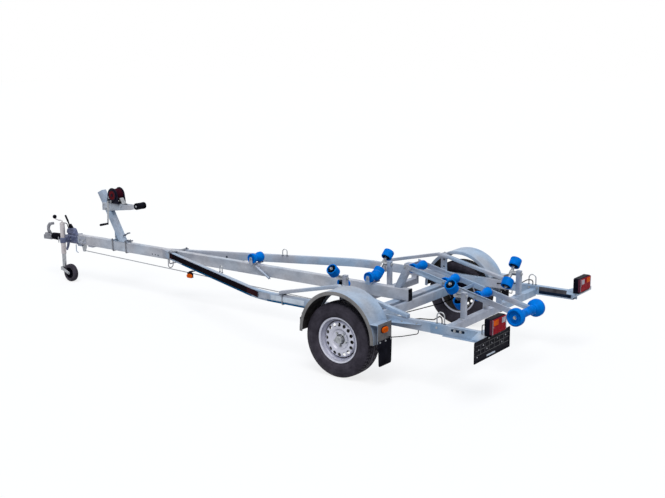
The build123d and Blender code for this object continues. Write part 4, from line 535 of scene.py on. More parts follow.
class TRAILER_OT_finishes(bpy.types.Operator):
    """Make the trailer's materials and give them to the frame's own parts"""

    bl_idname = "trailer.finishes"
    bl_label = "Finishes"

    def execute(self, context):
        s = context.scene.trailer_finish
        for name, dark, light, *look, options in FINISHES:
            if isinstance(dark[0], str):
                dark, light = (tinted(getattr(s, setting), factor) for setting, factor in (dark, light))
            finish(name, dark, light, *look, **options)
        for name, tone in (
            ("stripe_black", s.stripe_black), ("stripe_blue", s.stripe_blue), ("stripe_red", s.stripe_red),
            ("stripe_silver", (0.42, 0.44, 0.5)), ("label_pale", (0.62, 0.67, 0.74)),
        ):
            finish(name, tinted(tone, 0.8), tinted(tone, 1.1), 14, (0.4, 0.56), 0, 0.04, 300, 0)
        for name, tone, turn, pitch in (("amber_lens", s.amber, "Z", 95), ("red_lens", s.red, "Y", 95),
                                        ("clear_lens", (0.52, 0.47, 0.52), "Y", 60)):
            ribbed_lens(name, tone, turn, pitch)
        # The drawbar beam wears the lighter copy of the galvanised finish, as painted light; the hubs are brown cast
        # iron.
        special = {"wheel_hub_left": "iron_brown", "wheel_hub_right": "iron_brown", "drawbar_beam": "galvanised_front"}
        for part in frame["record"]["subparts"]:
            materials = frame["nodes"][part["node"]].data.materials
            materials.clear()
            materials.append(FINISH[special.get(part["node"], WORN[part["material_slot"]][0])])
        return {"FINISHED"}


# ---------------------------------------------------------------- wheels
TYRE_SIDE = (
    # radius, outboard of the tyre's middle: from the bead over the wall to the tread's edge
    (196.5, 69), (200.5, 76.5), (206, 84.2), (208.5, 87.6), (212, 88.6), (214.5, 89.6), (218, 90.8), (226, 94),
    (236, 96.4), (238.5, 97.2), (242, 97.3), (245, 96.6), (256, 96.8), (266, 96), (268.5, 96.3), (271, 95.1),
    (281, 92.5), (290, 89), (295, 87.2), (298.5, 85.2), (304.5, 82.2), (308.5, 78.4), (311, 72),
)
TREAD_HALF = (
    # across the tread, in grooves: 1, on ribs: 0
    (64, 0), (50, 0), (48.5, 1), (42, 1), (40.5, 0), (22, 0), (20.5, 1), (14.5, 1), (13, 0),
)
TYRE_RADIUS, CROWN_HALF, CROWN_DROP = 315, 64, 3
RIM_OUTSIDE = (
    (189, 73.5), (191.5, 73.2), (192.2, 71.2), (190, 69), (184, 67.8), (179.5, 64), (178, 54), (176.5, 37),
    (162, 22), (158, 12), (158, -8), (164, -19), (176.5, -37), (178, -60), (179.5, -65), (184, -68), (190, -69),
    (192.2, -71.2), (191.5, -73.2), (189, -73.5),
)
RIM_INSIDE = (
    (186.8, -72.2), (184.5, -71.2), (177, -69), (174.8, -62), (172.8, -38), (160.5, -20.5), (154.5, -8.5),
    (154.5, 13), (159, 24.5), (172.8, 39), (174.5, 56), (176.5, 68), (184.5, 71.2), (186.8, 72.2),
)
DISC_FACE = (
    (34, 33), (48, 33.2), (64, 32.2), (74, 32.2), (79, 35), (85, 42), (92, 47), (101, 49.2), (112, 49.5),
    (130, 47.8), (139, 45.5), (145, 40.5), (150, 31), (153, 20), (155.2, 16),
)
DISC_SHEET = 4.2
VENT_REACH = 126.2
BOLT_REACH, BOLT_COUNT = 56, 5
VALVE_REACH, VALVE_TURN = 166.5, 2.6


def wheel_place(side):
    """A wheel's own frame: its Z runs outboard along the axle."""
    return Matrix.Translation((0, side * WHEEL_Y, AXLE_Z)) @ Matrix.Rotation(-side * math.pi / 2, 4, "X")


def round_z(reach, turn, height):
    """Point at a distance from Z and a turn about it."""
    return Vector((reach * math.cos(turn), reach * math.sin(turn), height))


def tyre(settings, side, name):
    """Tyre with blocks cut into its shoulders and its middle ribs."""
    groove = settings.groove_depth * 1000
    crown = [(TYRE_RADIUS - CROWN_DROP * (a / CROWN_HALF) ** 2 - groove * cut, a) for a, cut in TREAD_HALF]
    outer = [*TYRE_SIDE, *crown]
    inner = [(178.5, -69), (178.5, -58), (204, -60), (245, -84), (286, -74)]
    profile = outer + [(r, -a) for r, a in reversed(outer)] + inner + [(301, 0)] + [(r, -a) for r, a in reversed(inner)]
    bm = bmesh.new()
    spun(bm, profile, settings.steps)
    shoulder, middle = [], []
    for face in bm.faces:
        centre = face.calc_center_median()
        reach, across = math.hypot(centre.x, centre.y), abs(centre.z)
        place = slice_number(face, settings.steps) + (centre.z > 0)
        if reach > TYRE_RADIUS - 5.5 and across > 50 and place % 2 == 0:
            shoulder.append(face)
        elif reach > TYRE_RADIUS - 4 and 40.5 > across > 22 and place % 3 == 0:
            middle.append(face)
    for faces in (shoulder, middle):
        bmesh.ops.inset_individual(bm, faces=faces, thickness=2.2, depth=-4.5, use_even_offset=True)
    piece(bm, f"tyre_with_tread_{name}", "tyre_rubber", place=wheel_place(side), body=f"wheel_{name}",
          replaces=(f"tyre_{name}",), smooth=38)


def wheel_disc(settings, side, name):
    """Pressed disc with its ring of vents cut out, the cut made in metres."""
    sheet, cutter = bmesh.new(), bmesh.new()
    spun(sheet, [*DISC_FACE, *((radius, along - DISC_SHEET) for radius, along in reversed(DISC_FACE))], 96)
    for vent in range(settings.vent_count):
        turn = math.tau * vent / settings.vent_count
        rod(cutter, round_z(VENT_REACH, turn, 20), round_z(VENT_REACH, turn, 80), settings.vent_radius * 1000, 20)
    for bm in (sheet, cutter):
        moved(bm, Matrix.Scale(0.001, 4))
        bmesh.ops.recalc_face_normals(bm, faces=bm.faces)
    sheet, cutter = object_of(sheet, "disc_sheet"), object_of(cutter, "disc_vents")
    hole = sheet.modifiers.new("holes", "BOOLEAN")
    hole.operation, hole.solver, hole.object = "DIFFERENCE", "EXACT", cutter
    bpy.context.view_layer.update()
    bm = bmesh.new()
    bm.from_object(sheet, bpy.context.evaluated_depsgraph_get())
    for made in (sheet, cutter):
        bpy.data.objects.remove(made)
    bm.normal_update()
    # Faces that look inboard, at the back of the disc, take dark brown painted shade so the vents look dark.
    for face in bm.faces:
        face.material_index = int(face.normal.z < -0.3)
    piece(bm, f"wheel_disc_{name}", "silver_lacquer", place=wheel_place(side) @ Matrix.Scale(1000, 4),
          body=f"wheel_{name}", smooth=40, further=("iron_brown",))


def wheel_rim(side, name):
    """Rolled rim, with dark brown painted shade inside the barrel behind the disc."""
    bm = bmesh.new()
    spun(bm, [*RIM_OUTSIDE, *RIM_INSIDE], 96)
    # Faces inside the barrel behind the disc take dark brown painted shade.
    for face in bm.faces:
        middle = face.calc_center_median()
        face.material_index = int(middle.z < 28 and math.hypot(middle.x, middle.y) < 176.5)
    piece(bm, f"wheel_barrel_{name}", "silver_lacquer", place=wheel_place(side), body=f"wheel_{name}",
          replaces=(f"wheel_rim_{name}",), smooth=40, further=("iron_brown",))


def wheel_fittings(side, name):
    """Black ring of painted shadow round the grease cap's foot, bolts, grease cap and valve."""
    body, place = f"wheel_{name}", wheel_place(side)
    # A thin black ring of painted shadow round the foot of the grease cap.
    shadow_ring = ((34.5, 32.4), (42.5, 32.4), (42.5, 34), (34.5, 34))
    turned(f"hub_collar_{name}", "black_plastic", shadow_ring, place, 40, body=body)
    bm = bmesh.new()
    for bolt in range(BOLT_COUNT):
        foot = round_z(BOLT_REACH, math.tau * (bolt + 0.25) / BOLT_COUNT, 31.8)
        disc(bm, foot, UP, 13.5, 3, 20, 12)
        disc(bm, foot + UP * 2.5, UP, 10, 9.5, 6, 9.2)
        disc(bm, foot + UP * 11, UP, 7, 2.2, 14, 5)
    spun(bm, ((0, 65.2), (14, 65.2), (16.5, 66.8), (23.5, 66.4), (29.5, 65), (32.5, 62.5), (33.6, 56), (34, 36.5),
              (35.2, 35.2), (35.2, 32.5), (0, 32.5)), 40, closed=False)
    piece(bm, f"hub_cap_and_bolts_{name}", "bright_zinc", place=place, body=body)
    bm = bmesh.new()
    stem = round_z(VALVE_REACH, VALVE_TURN, 44)
    rod(bm, stem, stem + UP * 24, 5.5, 12)
    rod(bm, stem + UP * 24, stem + UP * 33, 4.2, 12)
    piece(bm, f"wheel_valve_{name}", "black_rubber", place=place, body=body)


class TRAILER_OT_wheels(bpy.types.Operator):
    """Tyres with tread, rolled rims, vented discs, bolts, caps and valves"""

    bl_idname = "trailer.wheels"
    bl_label = "Wheels"

    def execute(self, context):
        settings = context.scene.trailer_wheels
        for name, side in SIDES:
            tyre(settings, side, name)
            wheel_rim(side, name)
            wheel_disc(settings, side, name)
            wheel_fittings(side, name)
        return {"FINISHED"}


class TRAILER_OT_mudguards(bpy.types.Operator):
    """Half-round mudguards with turned-down and rolled edges, and their front clips"""

    bl_idname = "trailer.mudguards"
    bl_label = "Mudguards"

    def execute(self, context):
        settings = context.scene.trailer_wheels
        for name, side in SIDES:
            self.guard(settings.guard_sheet * 1000, settings.guard_lip * 1000, name, side)
            bm = bmesh.new()
            front, across = GUARD_AHEAD + GUARD_RADIUS, side * 1062
            block(bm, (front - 0.5, across - 14, 392), (front + 12, across + 14, 462))
            hex_bolt(bm, (front + 12, across, 446), (1, 0, 0), 7)
            disc(bm, (front - 4, side * 1040, 486), (1, 0, 0), 8.5, 20, 14)
            piece(bm, f"mudguard_front_clip_{name}", "black_paint", edge=1)
        return {"FINISHED"}

    def guard(self, sheet, lip, name, side):
        top, low = GUARD_RADIUS, GUARD_RADIUS - 0.6
        section = (
            (top - lip, 860.5), (top - lip - 0.8, 859.2), (top - lip, 858), (366.5, 858), (369, 859), (top, 861.5),
            (top, 880), (low, 885), (low, 930), (low, 1030), (low, 1073), (top, 1078), (top, 1096.5), (369, 1099),
            (366.5, 1100), (top - lip, 1100), (top - lip - 0.8, 1098.8), (top - lip, 1097.5), (365, 1097.5),
            (top - sheet, 1095), (low - sheet, 1073), (low - sheet, 885), (top - sheet, 864), (365, 860.5),
        )
        bm = bmesh.new()
        verts = [bm.verts.new((GUARD_AHEAD + radius, side * across, GUARD_Z)) for radius, across in section]
        edges = [bm.edges.new((verts[n - 1], verts[n])) for n in range(len(verts))]
        out = bmesh.ops.spin(bm, geom=verts + edges, cent=(GUARD_AHEAD, 0, GUARD_Z), axis=(0, -1, 0), angle=math.pi,
                             steps=56, use_merge=False)
        for foot in (edges, edges_of(out["geom_last"])):
            made = bmesh.ops.extrude_edge_only(bm, edges=foot)["geom"]
            bmesh.ops.translate(bm, vec=(0, 0, -12), verts=verts_of(made))
            bmesh.ops.holes_fill(bm, edges=[edge for edge in edges_of(made) if len(edge.link_faces) == 1], sides=0)
        bmesh.ops.recalc_face_normals(bm, faces=bm.faces)
        # Faces of the outer lip take painted shade with a warm painted reflection of the ground; faces that look in at
        # the wheel take painted shade with dirt.
        for face in bm.faces:
            middle = face.calc_center_median()
            inward = Vector((GUARD_AHEAD, middle.y, GUARD_Z)) - middle
            if side * middle.y > 1097.2:
                face.material_index = 1
            elif face.normal.dot(inward.normalized()) > 0.7 and inward.length > 360:
                face.material_index = 2
        piece(bm, f"mudguard_sheet_{name}", "galvanised_sheet", replaces=(f"mudguard_{name}",), smooth=42,
              further=("guard_edge", "guard_underside"))


# ---------------------------------------------------------------- steelwork
STEELWORK = (
    # node, rounding of its edges, finish, options
    ("side_rail_left", 2.5, "galvanised", {}),
    ("side_rail_right", 2.5, "galvanised", {}),
    ("cross_members", 1.5, "galvanised", {}),
    ("arch_bars", 2.5, "galvanised", {}),
    # The rear-facing faces of the mudflap brackets take painted shade.
    ("mudflap_brackets", 0.8, "galvanised_sheet", {"further": ("flap_plate",)}),
    ("marker_brackets", 0.8, "black_paint", {"slot": "galvanised_steel"}),
    ("lamp_carriers", 0.8, "galvanised_sheet", {}),
    ("keel_cradle", 1.5, "galvanised", {}),
    ("roller_brackets", 1, "galvanised", {}),
    ("wobble_posts", 2, "galvanised", {}),
    ("winch_post", 1.2, "galvanised", {}),
    # The bow stop arm wears the lighter copy of the galvanised finish, as painted light.
    ("bow_stop_arm", 1, "galvanised_front", {}),
    ("swing_arms", 3, "black_paint", {}),
)


class TRAILER_OT_steelwork(bpy.types.Operator):
    """Frame tubes and plates with their edges rounded, and the plugs in their ends"""

    bl_idname = "trailer.steelwork"
    bl_label = "Steelwork"

    def execute(self, context):
        for node, edge, look, options in STEELWORK:
            bm = softened(node)
            # Faces that look backwards take the second finish, painted shade on the mudflap brackets.
            if "further" in options:
                bm.normal_update()
                for face in bm.faces:
                    if face.normal.x < -0.9:
                        face.material_index = 1
            settle(bm, f"{node}_dressed", look, replaces=(node,), edge=edge, smooth=32, **options)
        # Bands on the inner faces of the rail tails: dark grey painted shade above, near-black painted shade below.
        inner, outer = RAIL_Y - RAIL_HALF - 0.7, RAIL_Y - RAIL_HALF + 0.7
        for name, look, low, high in (("rail_tail_inner_sides", "carrier_inside", 494, 530),
                                      ("rail_tail_inner_shade", "dark_recess", 467, 494)):
            blocks(name, look, [((-1205, inner, low), (-875, outer, high))], True, slot="galvanised_steel")
        middle = (BEAM_TOP + BEAM_BOTTOM) / 2
        blocks("beam_end_cap", "black_plastic", [((-33.5, -30, middle - 55), (-29.5, 30, middle + 55)),
                                                 ((-30, -25.5, middle - 50.5), (-10, 25.5, middle + 50.5))], edge=2)
        middle = (RAIL_TOP + RAIL_BOTTOM) / 2
        blocks("rail_end_plugs", "black_plastic", [((-1224, RAIL_Y - 15.8, middle - 35.8),
                                                    (-1207, RAIL_Y + 15.8, middle + 35.8))], True, edge=1.5)
        return {"FINISHED"}


STRIPES = (
    # name, finish, from station, to station, bottom, top
    ("stripe_front_red", "stripe_red", 2905, 2850, 472, 528),
    ("stripe_long_black", "stripe_black", 2850, 1245, 472, 528),
    ("stripe_rear_red", "stripe_red", 1245, 1045, 474, 527),
    ("stripe_silver_patch", "stripe_silver", 1035, 905, 474, 526),
    ("stripe_pale_label", "label_pale", 895, 520, 478, 520),
    ("stripe_low_blue", "stripe_blue", 2620, 420, 456.5, 471.2),
)
FILM = 0.5
FILM_LIFT = 0.3
BEND_RADIUS = 920


def rail_face_y(ahead):
    """Outer face of the left rail at a station, on its straight runs."""
    return min(RAIL_Y + RAIL_HALF, rail_line_y(ahead) + RAIL_HALF * math.hypot(1, RAIL_SLANT))


class TRAILER_OT_stripes(bpy.types.Operator):
    """Thin films of colour along the rails' outer faces"""

    bl_idname = "trailer.stripes"
    bl_label = "Rail stripes"

    def execute(self, context):
        for name, look, front, back, low, high in STRIPES:
            bm = bmesh.new()
            for _, side in SIDES:
                film = self.film(front, back, low, high)
                if side < 0:
                    bmesh.ops.scale(film, vec=(1, -1, 1), verts=film.verts)
                join(bm, film)
            piece(bm, name, look, smooth=30)
        return {"FINISHED"}

    def film(self, front, back, low, high):
        half_turn = math.tan(math.atan(RAIL_SLANT) / 2)
        bend = RAIL_BEND + RAIL_HALF * half_turn
        bm = bmesh.new()
        path = [bm.verts.new((back, rail_face_y(back), low)), bm.verts.new((front, rail_face_y(front), low))]
        if back < bend < front:
            path.insert(1, bm.verts.new((bend, RAIL_Y + RAIL_HALF, low)))
        for pair in zip(path, path[1:]):
            bm.edges.new(pair)
        if len(path) == 3:
            reach = min(BEND_RADIUS * half_turn, 0.98 * (bend - back), 0.98 * (front - bend))
            bmesh.ops.bevel(bm, geom=[path[1]], offset=reach, segments=14, profile=0.5, affect="VERTICES", material=-1)
        else:
            bmesh.ops.subdivide_edges(bm, edges=list(bm.edges), cuts=3)
        bmesh.ops.translate(bm, vec=(0, FILM_LIFT, 0), verts=bm.verts)
        upper = verts_of(bmesh.ops.extrude_edge_only(bm, edges=list(bm.edges))["geom"])
        bmesh.ops.translate(bm, vec=(0, 0, high - low), verts=upper)
        skin = verts_of(bmesh.ops.extrude_face_region(bm, geom=list(bm.faces), use_keep_orig=True)["geom"])
        bmesh.ops.translate(bm, vec=(0, FILM, 0), verts=skin)
        return bm


# ---------------------------------------------------------------- rollers
KEEL_ROLLER = (
    (9, 90), (15, 90), (15.5, 94.5), (20, 94.5), (20.5, 88), (33.5, 88), (34.5, 96), (37.5, 98), (40.5, 97.2),
    (42, 94.5), (42, 74), (40.8, 69), (36, 56), (31, 38), (28, 22), (27, 10),
)
BEAM_ROLLER = (
    (9, 70), (16, 70), (16.5, 74.5), (21.5, 74.5), (22, 66), (41, 66), (42, 73.5), (45, 75), (48, 74.2),
    (50, 71), (50, 42), (48.5, 37), (42, 27), (35, 15), (32.5, 6),
)
STERN_ROLLER = (
    (9, 200), (15, 200), (15.5, 208), (23, 208), (24, 196), (52, 196), (56, 211), (61, 214.5), (67, 213.5),
    (72.5, 208), (74.8, 200), (75, 176), (74.2, 163), (70, 154), (56, 140), (44, 131), (41, 125), (40.5, 119.4),
    (10, 119.3), (10, 110.7), (39.5, 110.6), (38.5, 90), (36, 60), (34.5, 40), (34, 15),
)
LINE_ROLLERS = (
    # name, profile, station, height, half its spindle, steps round it
    *((f"keel_roller_{n}", KEEL_ROLLER, ahead, cradle_middle(ahead), 126.5, 48)
      for n, ahead in ((1, -108), (2, -436), (3, -752))),
    *((f"beam_roller_{n}", BEAM_ROLLER, ahead, BEAM_TOP + 60, 89.5, 48) for n, ahead in ((1, 1786), (2, 376))),
    ("stern_roller", STERN_ROLLER, -1156, cradle_middle(-1156), 214, 64),
)
STAY_Y = 46


class TRAILER_OT_keel_rollers(bpy.types.Operator):
    """Waisted rollers on the keel line, from the beam to the stern"""

    bl_idname = "trailer.keel_rollers"
    bl_label = "Keel rollers"

    def execute(self, context):
        for row in LINE_ROLLERS[:-1]:
            self.roller(*row)
        bm = bmesh.new()
        for side in (-1, 1):
            top, foot = Vector((1752, side * STAY_Y, 523)), Vector((1580, side * STAY_Y, 427))
            rod(bm, top, foot, 11.5, 20)
            disc(bm, foot, foot - top, 12.8, 3, 20)
            disc(bm, top, top - foot, 11.5, 8, 20, 7)
            disc(bm, (1700, side * 34, 494), (0, side, 0), 8, 6, 14)
        piece(bm, "beam_roller_stay_tubes", "galvanised")
        self.roller(*LINE_ROLLERS[-1])
        return {"FINISHED"}

    def roller(self, name, profile, ahead, height, half, steps):
        place = across_place(ahead, height)
        turned(f"{name}_moulding", "blue_urethane", both_ways(profile), place, steps, body=name, replaces=(name,),
               smooth=40)
        bm = bmesh.new()
        shaft(bm, half, 18, (half - 10.5, 15, 1.8, 20), (half - 9, 12.5, 6, 6, 11.8))
        piece(bm, f"{name}_spindle", "bright_zinc", place=place, body=name)


WOBBLE_SETS = (
    # name, station of the shaft, across, height, tilt in degrees
    ("front", 500, 352, 643, 42),
    ("rear", -770, 481.5, 696, 48),
)
SIDE_ROLLER = (
    (39.2, -15), (39.5, -36), (41.5, -38.4), (45.5, -38.8), (48.5, -37), (49.8, -33), (50, -28), (50, 28), (49.8, 33),
    (48.5, 37), (45.5, 38.8), (41.5, 38.4), (39.5, 36), (39.2, 15), (10, 15), (10, -15),
)


def webs(bm, number, inner, outer, half, foot, tip):
    """Flat webs round Z on both sides of a middle plate."""
    for turn in range(number):
        for side in (-1, 1):
            ends = sorted((side * foot, side * tip))
            web = block(bm, (inner, -half, ends[0]), (outer, half, ends[1]))
            moved(bm, Matrix.Rotation(math.tau * turn / number, 4, "Z"), web)


class TRAILER_OT_side_rollers(bpy.types.Operator):
    """Pairs of fluted rollers on tilting arms, with webbed ends and shafts"""

    bl_idname = "trailer.side_rollers"
    bl_label = "Side rollers"

    def execute(self, context):
        settings = context.scene.trailer_rollers
        for set_name, ahead, across, height, tilt in WOBBLE_SETS:
            tilt = math.radians(tilt)
            for name, side in SIDES:
                pivot = Vector((ahead, side * across, height))
                place = put(pivot, (0, side * math.cos(tilt), math.sin(tilt)))
                self.rollers(settings, f"{set_name}_{name}", place)
                self.arm(f"{set_name}_{name}", place, pivot)
        return {"FINISHED"}

    def rollers(self, settings, name, place):
        body = f"wobble_rollers_{name}"
        steps = settings.flutes * 3
        tyres, inside = bmesh.new(), bmesh.new()
        for end in (-1, 1):
            centre = Matrix.Translation((0, 0, end * 105))
            made = bmesh.new()
            spun(made, SIDE_ROLLER, steps)
            flutes = [face for face in made.faces
                      if math.hypot(*face.calc_center_median().xy) > 49.5 and slice_number(face, steps) % 3 == 0]
            bmesh.ops.inset_individual(made, faces=flutes, thickness=0.6, depth=-settings.flute_depth * 1000)
            moved(made, centre)
            join(tyres, made)
            made = bmesh.new()
            for out in (-1, 1):
                disc(made, (0, 0, out * 15.2), UP * out, 39, 1.2, 32)
                disc(made, (0, 0, out * 15), UP * out, 14.5, 20.5, 28, 13.5)
            webs(made, settings.spokes, 12, 39.4, 1.6, 15, 33)
            moved(made, centre)
            join(inside, made)
        piece(tyres, f"side_roller_tyres_{name}", "blue_urethane", place=place, body=body, replaces=(body,), smooth=40)
        # The webbed ends are the rollers' blue plastic painted near black, as painted shade inside the recessed ends.
        piece(inside, f"side_roller_webs_{name}", "dark_recess", place=place, body=body, slot="blue_roller")

    def arm(self, name, place, pivot):
        body = f"wobble_arm_{name}"
        bm = bmesh.new()
        shaft(bm, 154, 20, (141.2, 12.8, 1.8, 22), (142.8, 9.8, 7, 6, 9.2))
        spun(bm, ((7.9, -65.7), (14, -65.7), (14, -30), (16.5, -26), (16.5, 26), (14, 30), (14, 65.7), (7.9, 65.7)), 28)
        moved(bm, place)
        back, ahead = Vector((-1, 0, 0)), Vector((1, 0, 0))
        rod(bm, pivot + back * 109, pivot, 8.9, 20)
        rod(bm, pivot + back * 54.7, pivot + ahead * 13.5, 19.8, 32)
        disc(bm, pivot + back * 95.5, back, 16.5, 2, 22)
        disc(bm, pivot + back * 97.2, back, 14, 8, 6, 13.2)
        piece(bm, f"side_roller_arm_{name}", "bright_zinc", body=body, replaces=(body,))


# ---------------------------------------------------------------- winch and bow stop
DRUM = (3832, 1058)
PINION = (3856, 985.5)
CRANK_END = (3878, 742.5)
BOW_ROLLER = (3450, 967)
STRAP_TURNS, STRAP_PITCH = 8, 10.5
DRUM_CHEEK = ((9, 43.2), (71.5, 43.2), (72, 45), (71.5, 46.8), (9, 46.8))
CRANK_GRIP = (
    (0, 101.8), (9.5, 101.8), (11.8, 104), (10.8, 112), (11.8, 135), (12.8, 165), (12.6, 190), (13, 202), (11, 208),
    (6, 209.8), (0, 210),
)
BOW_RUBBER = (
    (9.5, 58), (30, 58), (33.5, 59.8), (36, 58.5), (36.9, 55), (37, 48), (36.4, 35.5), (9.5, 35.3), (9.5, 29.7),
    (36.2, 29.5), (35.6, 10),
)


def toothed(bm, radius, low, high, teeth, depth):
    """Gear wheel along local Z with square teeth cut into its edge."""
    made = disc(bm, (0, 0, low), UP, radius, high - low, teeth * 3)
    walls = {face for vert in made for face in vert.link_faces if len(face.verts) == 4}
    gaps = [face for face in walls if slice_number(face, teeth * 3) % 3 == 0]
    bmesh.ops.inset_individual(bm, faces=gaps, thickness=0.02, depth=-depth)


class TRAILER_OT_winch(bpy.types.Operator):
    """Hand winch with strap drum, gears and crank, and the rubber bow roller"""

    bl_idname = "trailer.winch"
    bl_label = "Winch and bow stop"

    def execute(self, context):
        dressed("winch_frame", "winch_cheeks", "black_paint", edge=1.2)
        self.drum(across_place(*DRUM))
        self.crank()
        place = across_place(*BOW_ROLLER)
        turned("bow_roller_rubber", "black_rubber", both_ways(BOW_RUBBER), place, 44, body="bow_roller",
               replaces=("bow_roller",), smooth=40)
        bm = bmesh.new()
        shaft(bm, 59, 16, (57.8, 12, 2.1, 6))
        piece(bm, "bow_roller_spindle", "bright_zinc", place=place, body="bow_roller", smooth=30)

        # guard bar and its foot behind the drum, and the pawl on the left cheek
        bm = bmesh.new()
        slab(bm, ((3700, -26, 966), (3716, -26, 966), (3762, -26, 1022), (3748, -26, 1032)), (0, 52, 0))
        slab(bm, ((3690, -30, 965.5), (3750, -30, 965.5), (3750, -30, 970.5), (3690, -30, 970.5)), (0, 60, 0))
        block(bm, (3885, 54.5, 1012), (3905, 57.5, 1046))
        piece(bm, "winch_pawl_bracket", "bright_zinc", edge=0.8)
        return {"FINISHED"}

    def drum(self, place):
        coil = [(9, -42.8)]
        for low in (-42 + turn * STRAP_PITCH for turn in range(STRAP_TURNS)):
            coil += [(64, low), (67.2, low + 2.6), (68, low + 5.2), (67.2, low + 7.8)]
        turned("winch_strap_coil", "red_webbing", coil + [(64, 42), (9, 42.8)], place, body="winch_drum",
               replaces=("winch_drum",), smooth=50)
        bm = bmesh.new()
        for end in (-1, 1):
            spun(bm, [(radius, end * along) for radius, along in DRUM_CHEEK])
        rod(bm, (0, 0, -61.5), (0, 0, 69.5), 8.8, 18)
        disc(bm, (0, 0, 64.5), UP, 15, 4.5, 6)
        disc(bm, (0, 0, -54.5), -UP, 15, 4.5, 6)
        toothed(bm, 60.8, 58.2, 63.8, 44, 2.8)
        piece(bm, "winch_drum_and_gear", "black_paint", place=place, body="winch_drum", smooth=30)
        turned("winch_gear_red_web", "gear_red", ((17, 63.7), (48.5, 63.7), (48.5, 64.5), (17, 64.5)), place,
               body="winch_drum", smooth=30)

    def crank(self):
        bm = bmesh.new()
        toothed(bm, 14.3, 57.1, 66.9, 11, 2.2)
        rod(bm, (0, 0, 50.3), (0, 0, 107.5), 6.9, 16)
        disc(bm, (0, 0, 102.2), UP, 12, 6, 6)
        moved(bm, across_place(*PINION))
        start, end = (Vector((ahead, 96.2, height)) for ahead, height in (PINION, CRANK_END))
        run = (end - start).normalized()
        across = run.cross((0, 1, 0))
        edge = ((start, -16, 8), (start, -4, 15.5), (start, 30, 12.5), (end, -20, 10), (end, 8, 10.5), (end, 12.5, 4))
        outline = [origin + run * along + across * out for origin, along, out in edge]
        outline += [origin + run * along - across * out for origin, along, out in reversed(edge)]
        arm = bmesh.new()
        rounded_slab(arm, outline, (0, 5.6, 0), 3.5, 3)
        join(bm, arm)
        piece(bm, "winch_crank_arm", "bright_zinc", body="winch_crank", replaces=("winch_crank",), smooth=30)
        turned("winch_crank_grip", "black_plastic", CRANK_GRIP, across_place(*CRANK_END), 28, closed=False,
               body="winch_crank", smooth=45)


# ---------------------------------------------------------------- hitch
CAST_TO = 4499
BELLOWS_AT = 4800
PLEATS, PLEAT_PITCH, PLEAT_RADIUS = 11, 16.2, 46.2
BRAKE_BOOT = (
    (0, 0), (30, 0), (32.5, 7), (28.5, 12.5), (30.5, 19), (25.5, 26.5), (27.5, 33), (21.5, 42), (23, 48.5), (15, 62),
    (0, 62),
)
LEVER_SEAT = ((4562, 538), (4704, 538), (4694, 586), (4658, 603), (4590, 596))
LEVER = ((4655, 0, 548), (4676, 0, 612), (4694, 0, 660), (4742, 0, 736))
LEVER_GRIP = Vector((4700, 0, 669.5)), Vector((4742.5, 0, 736.8))


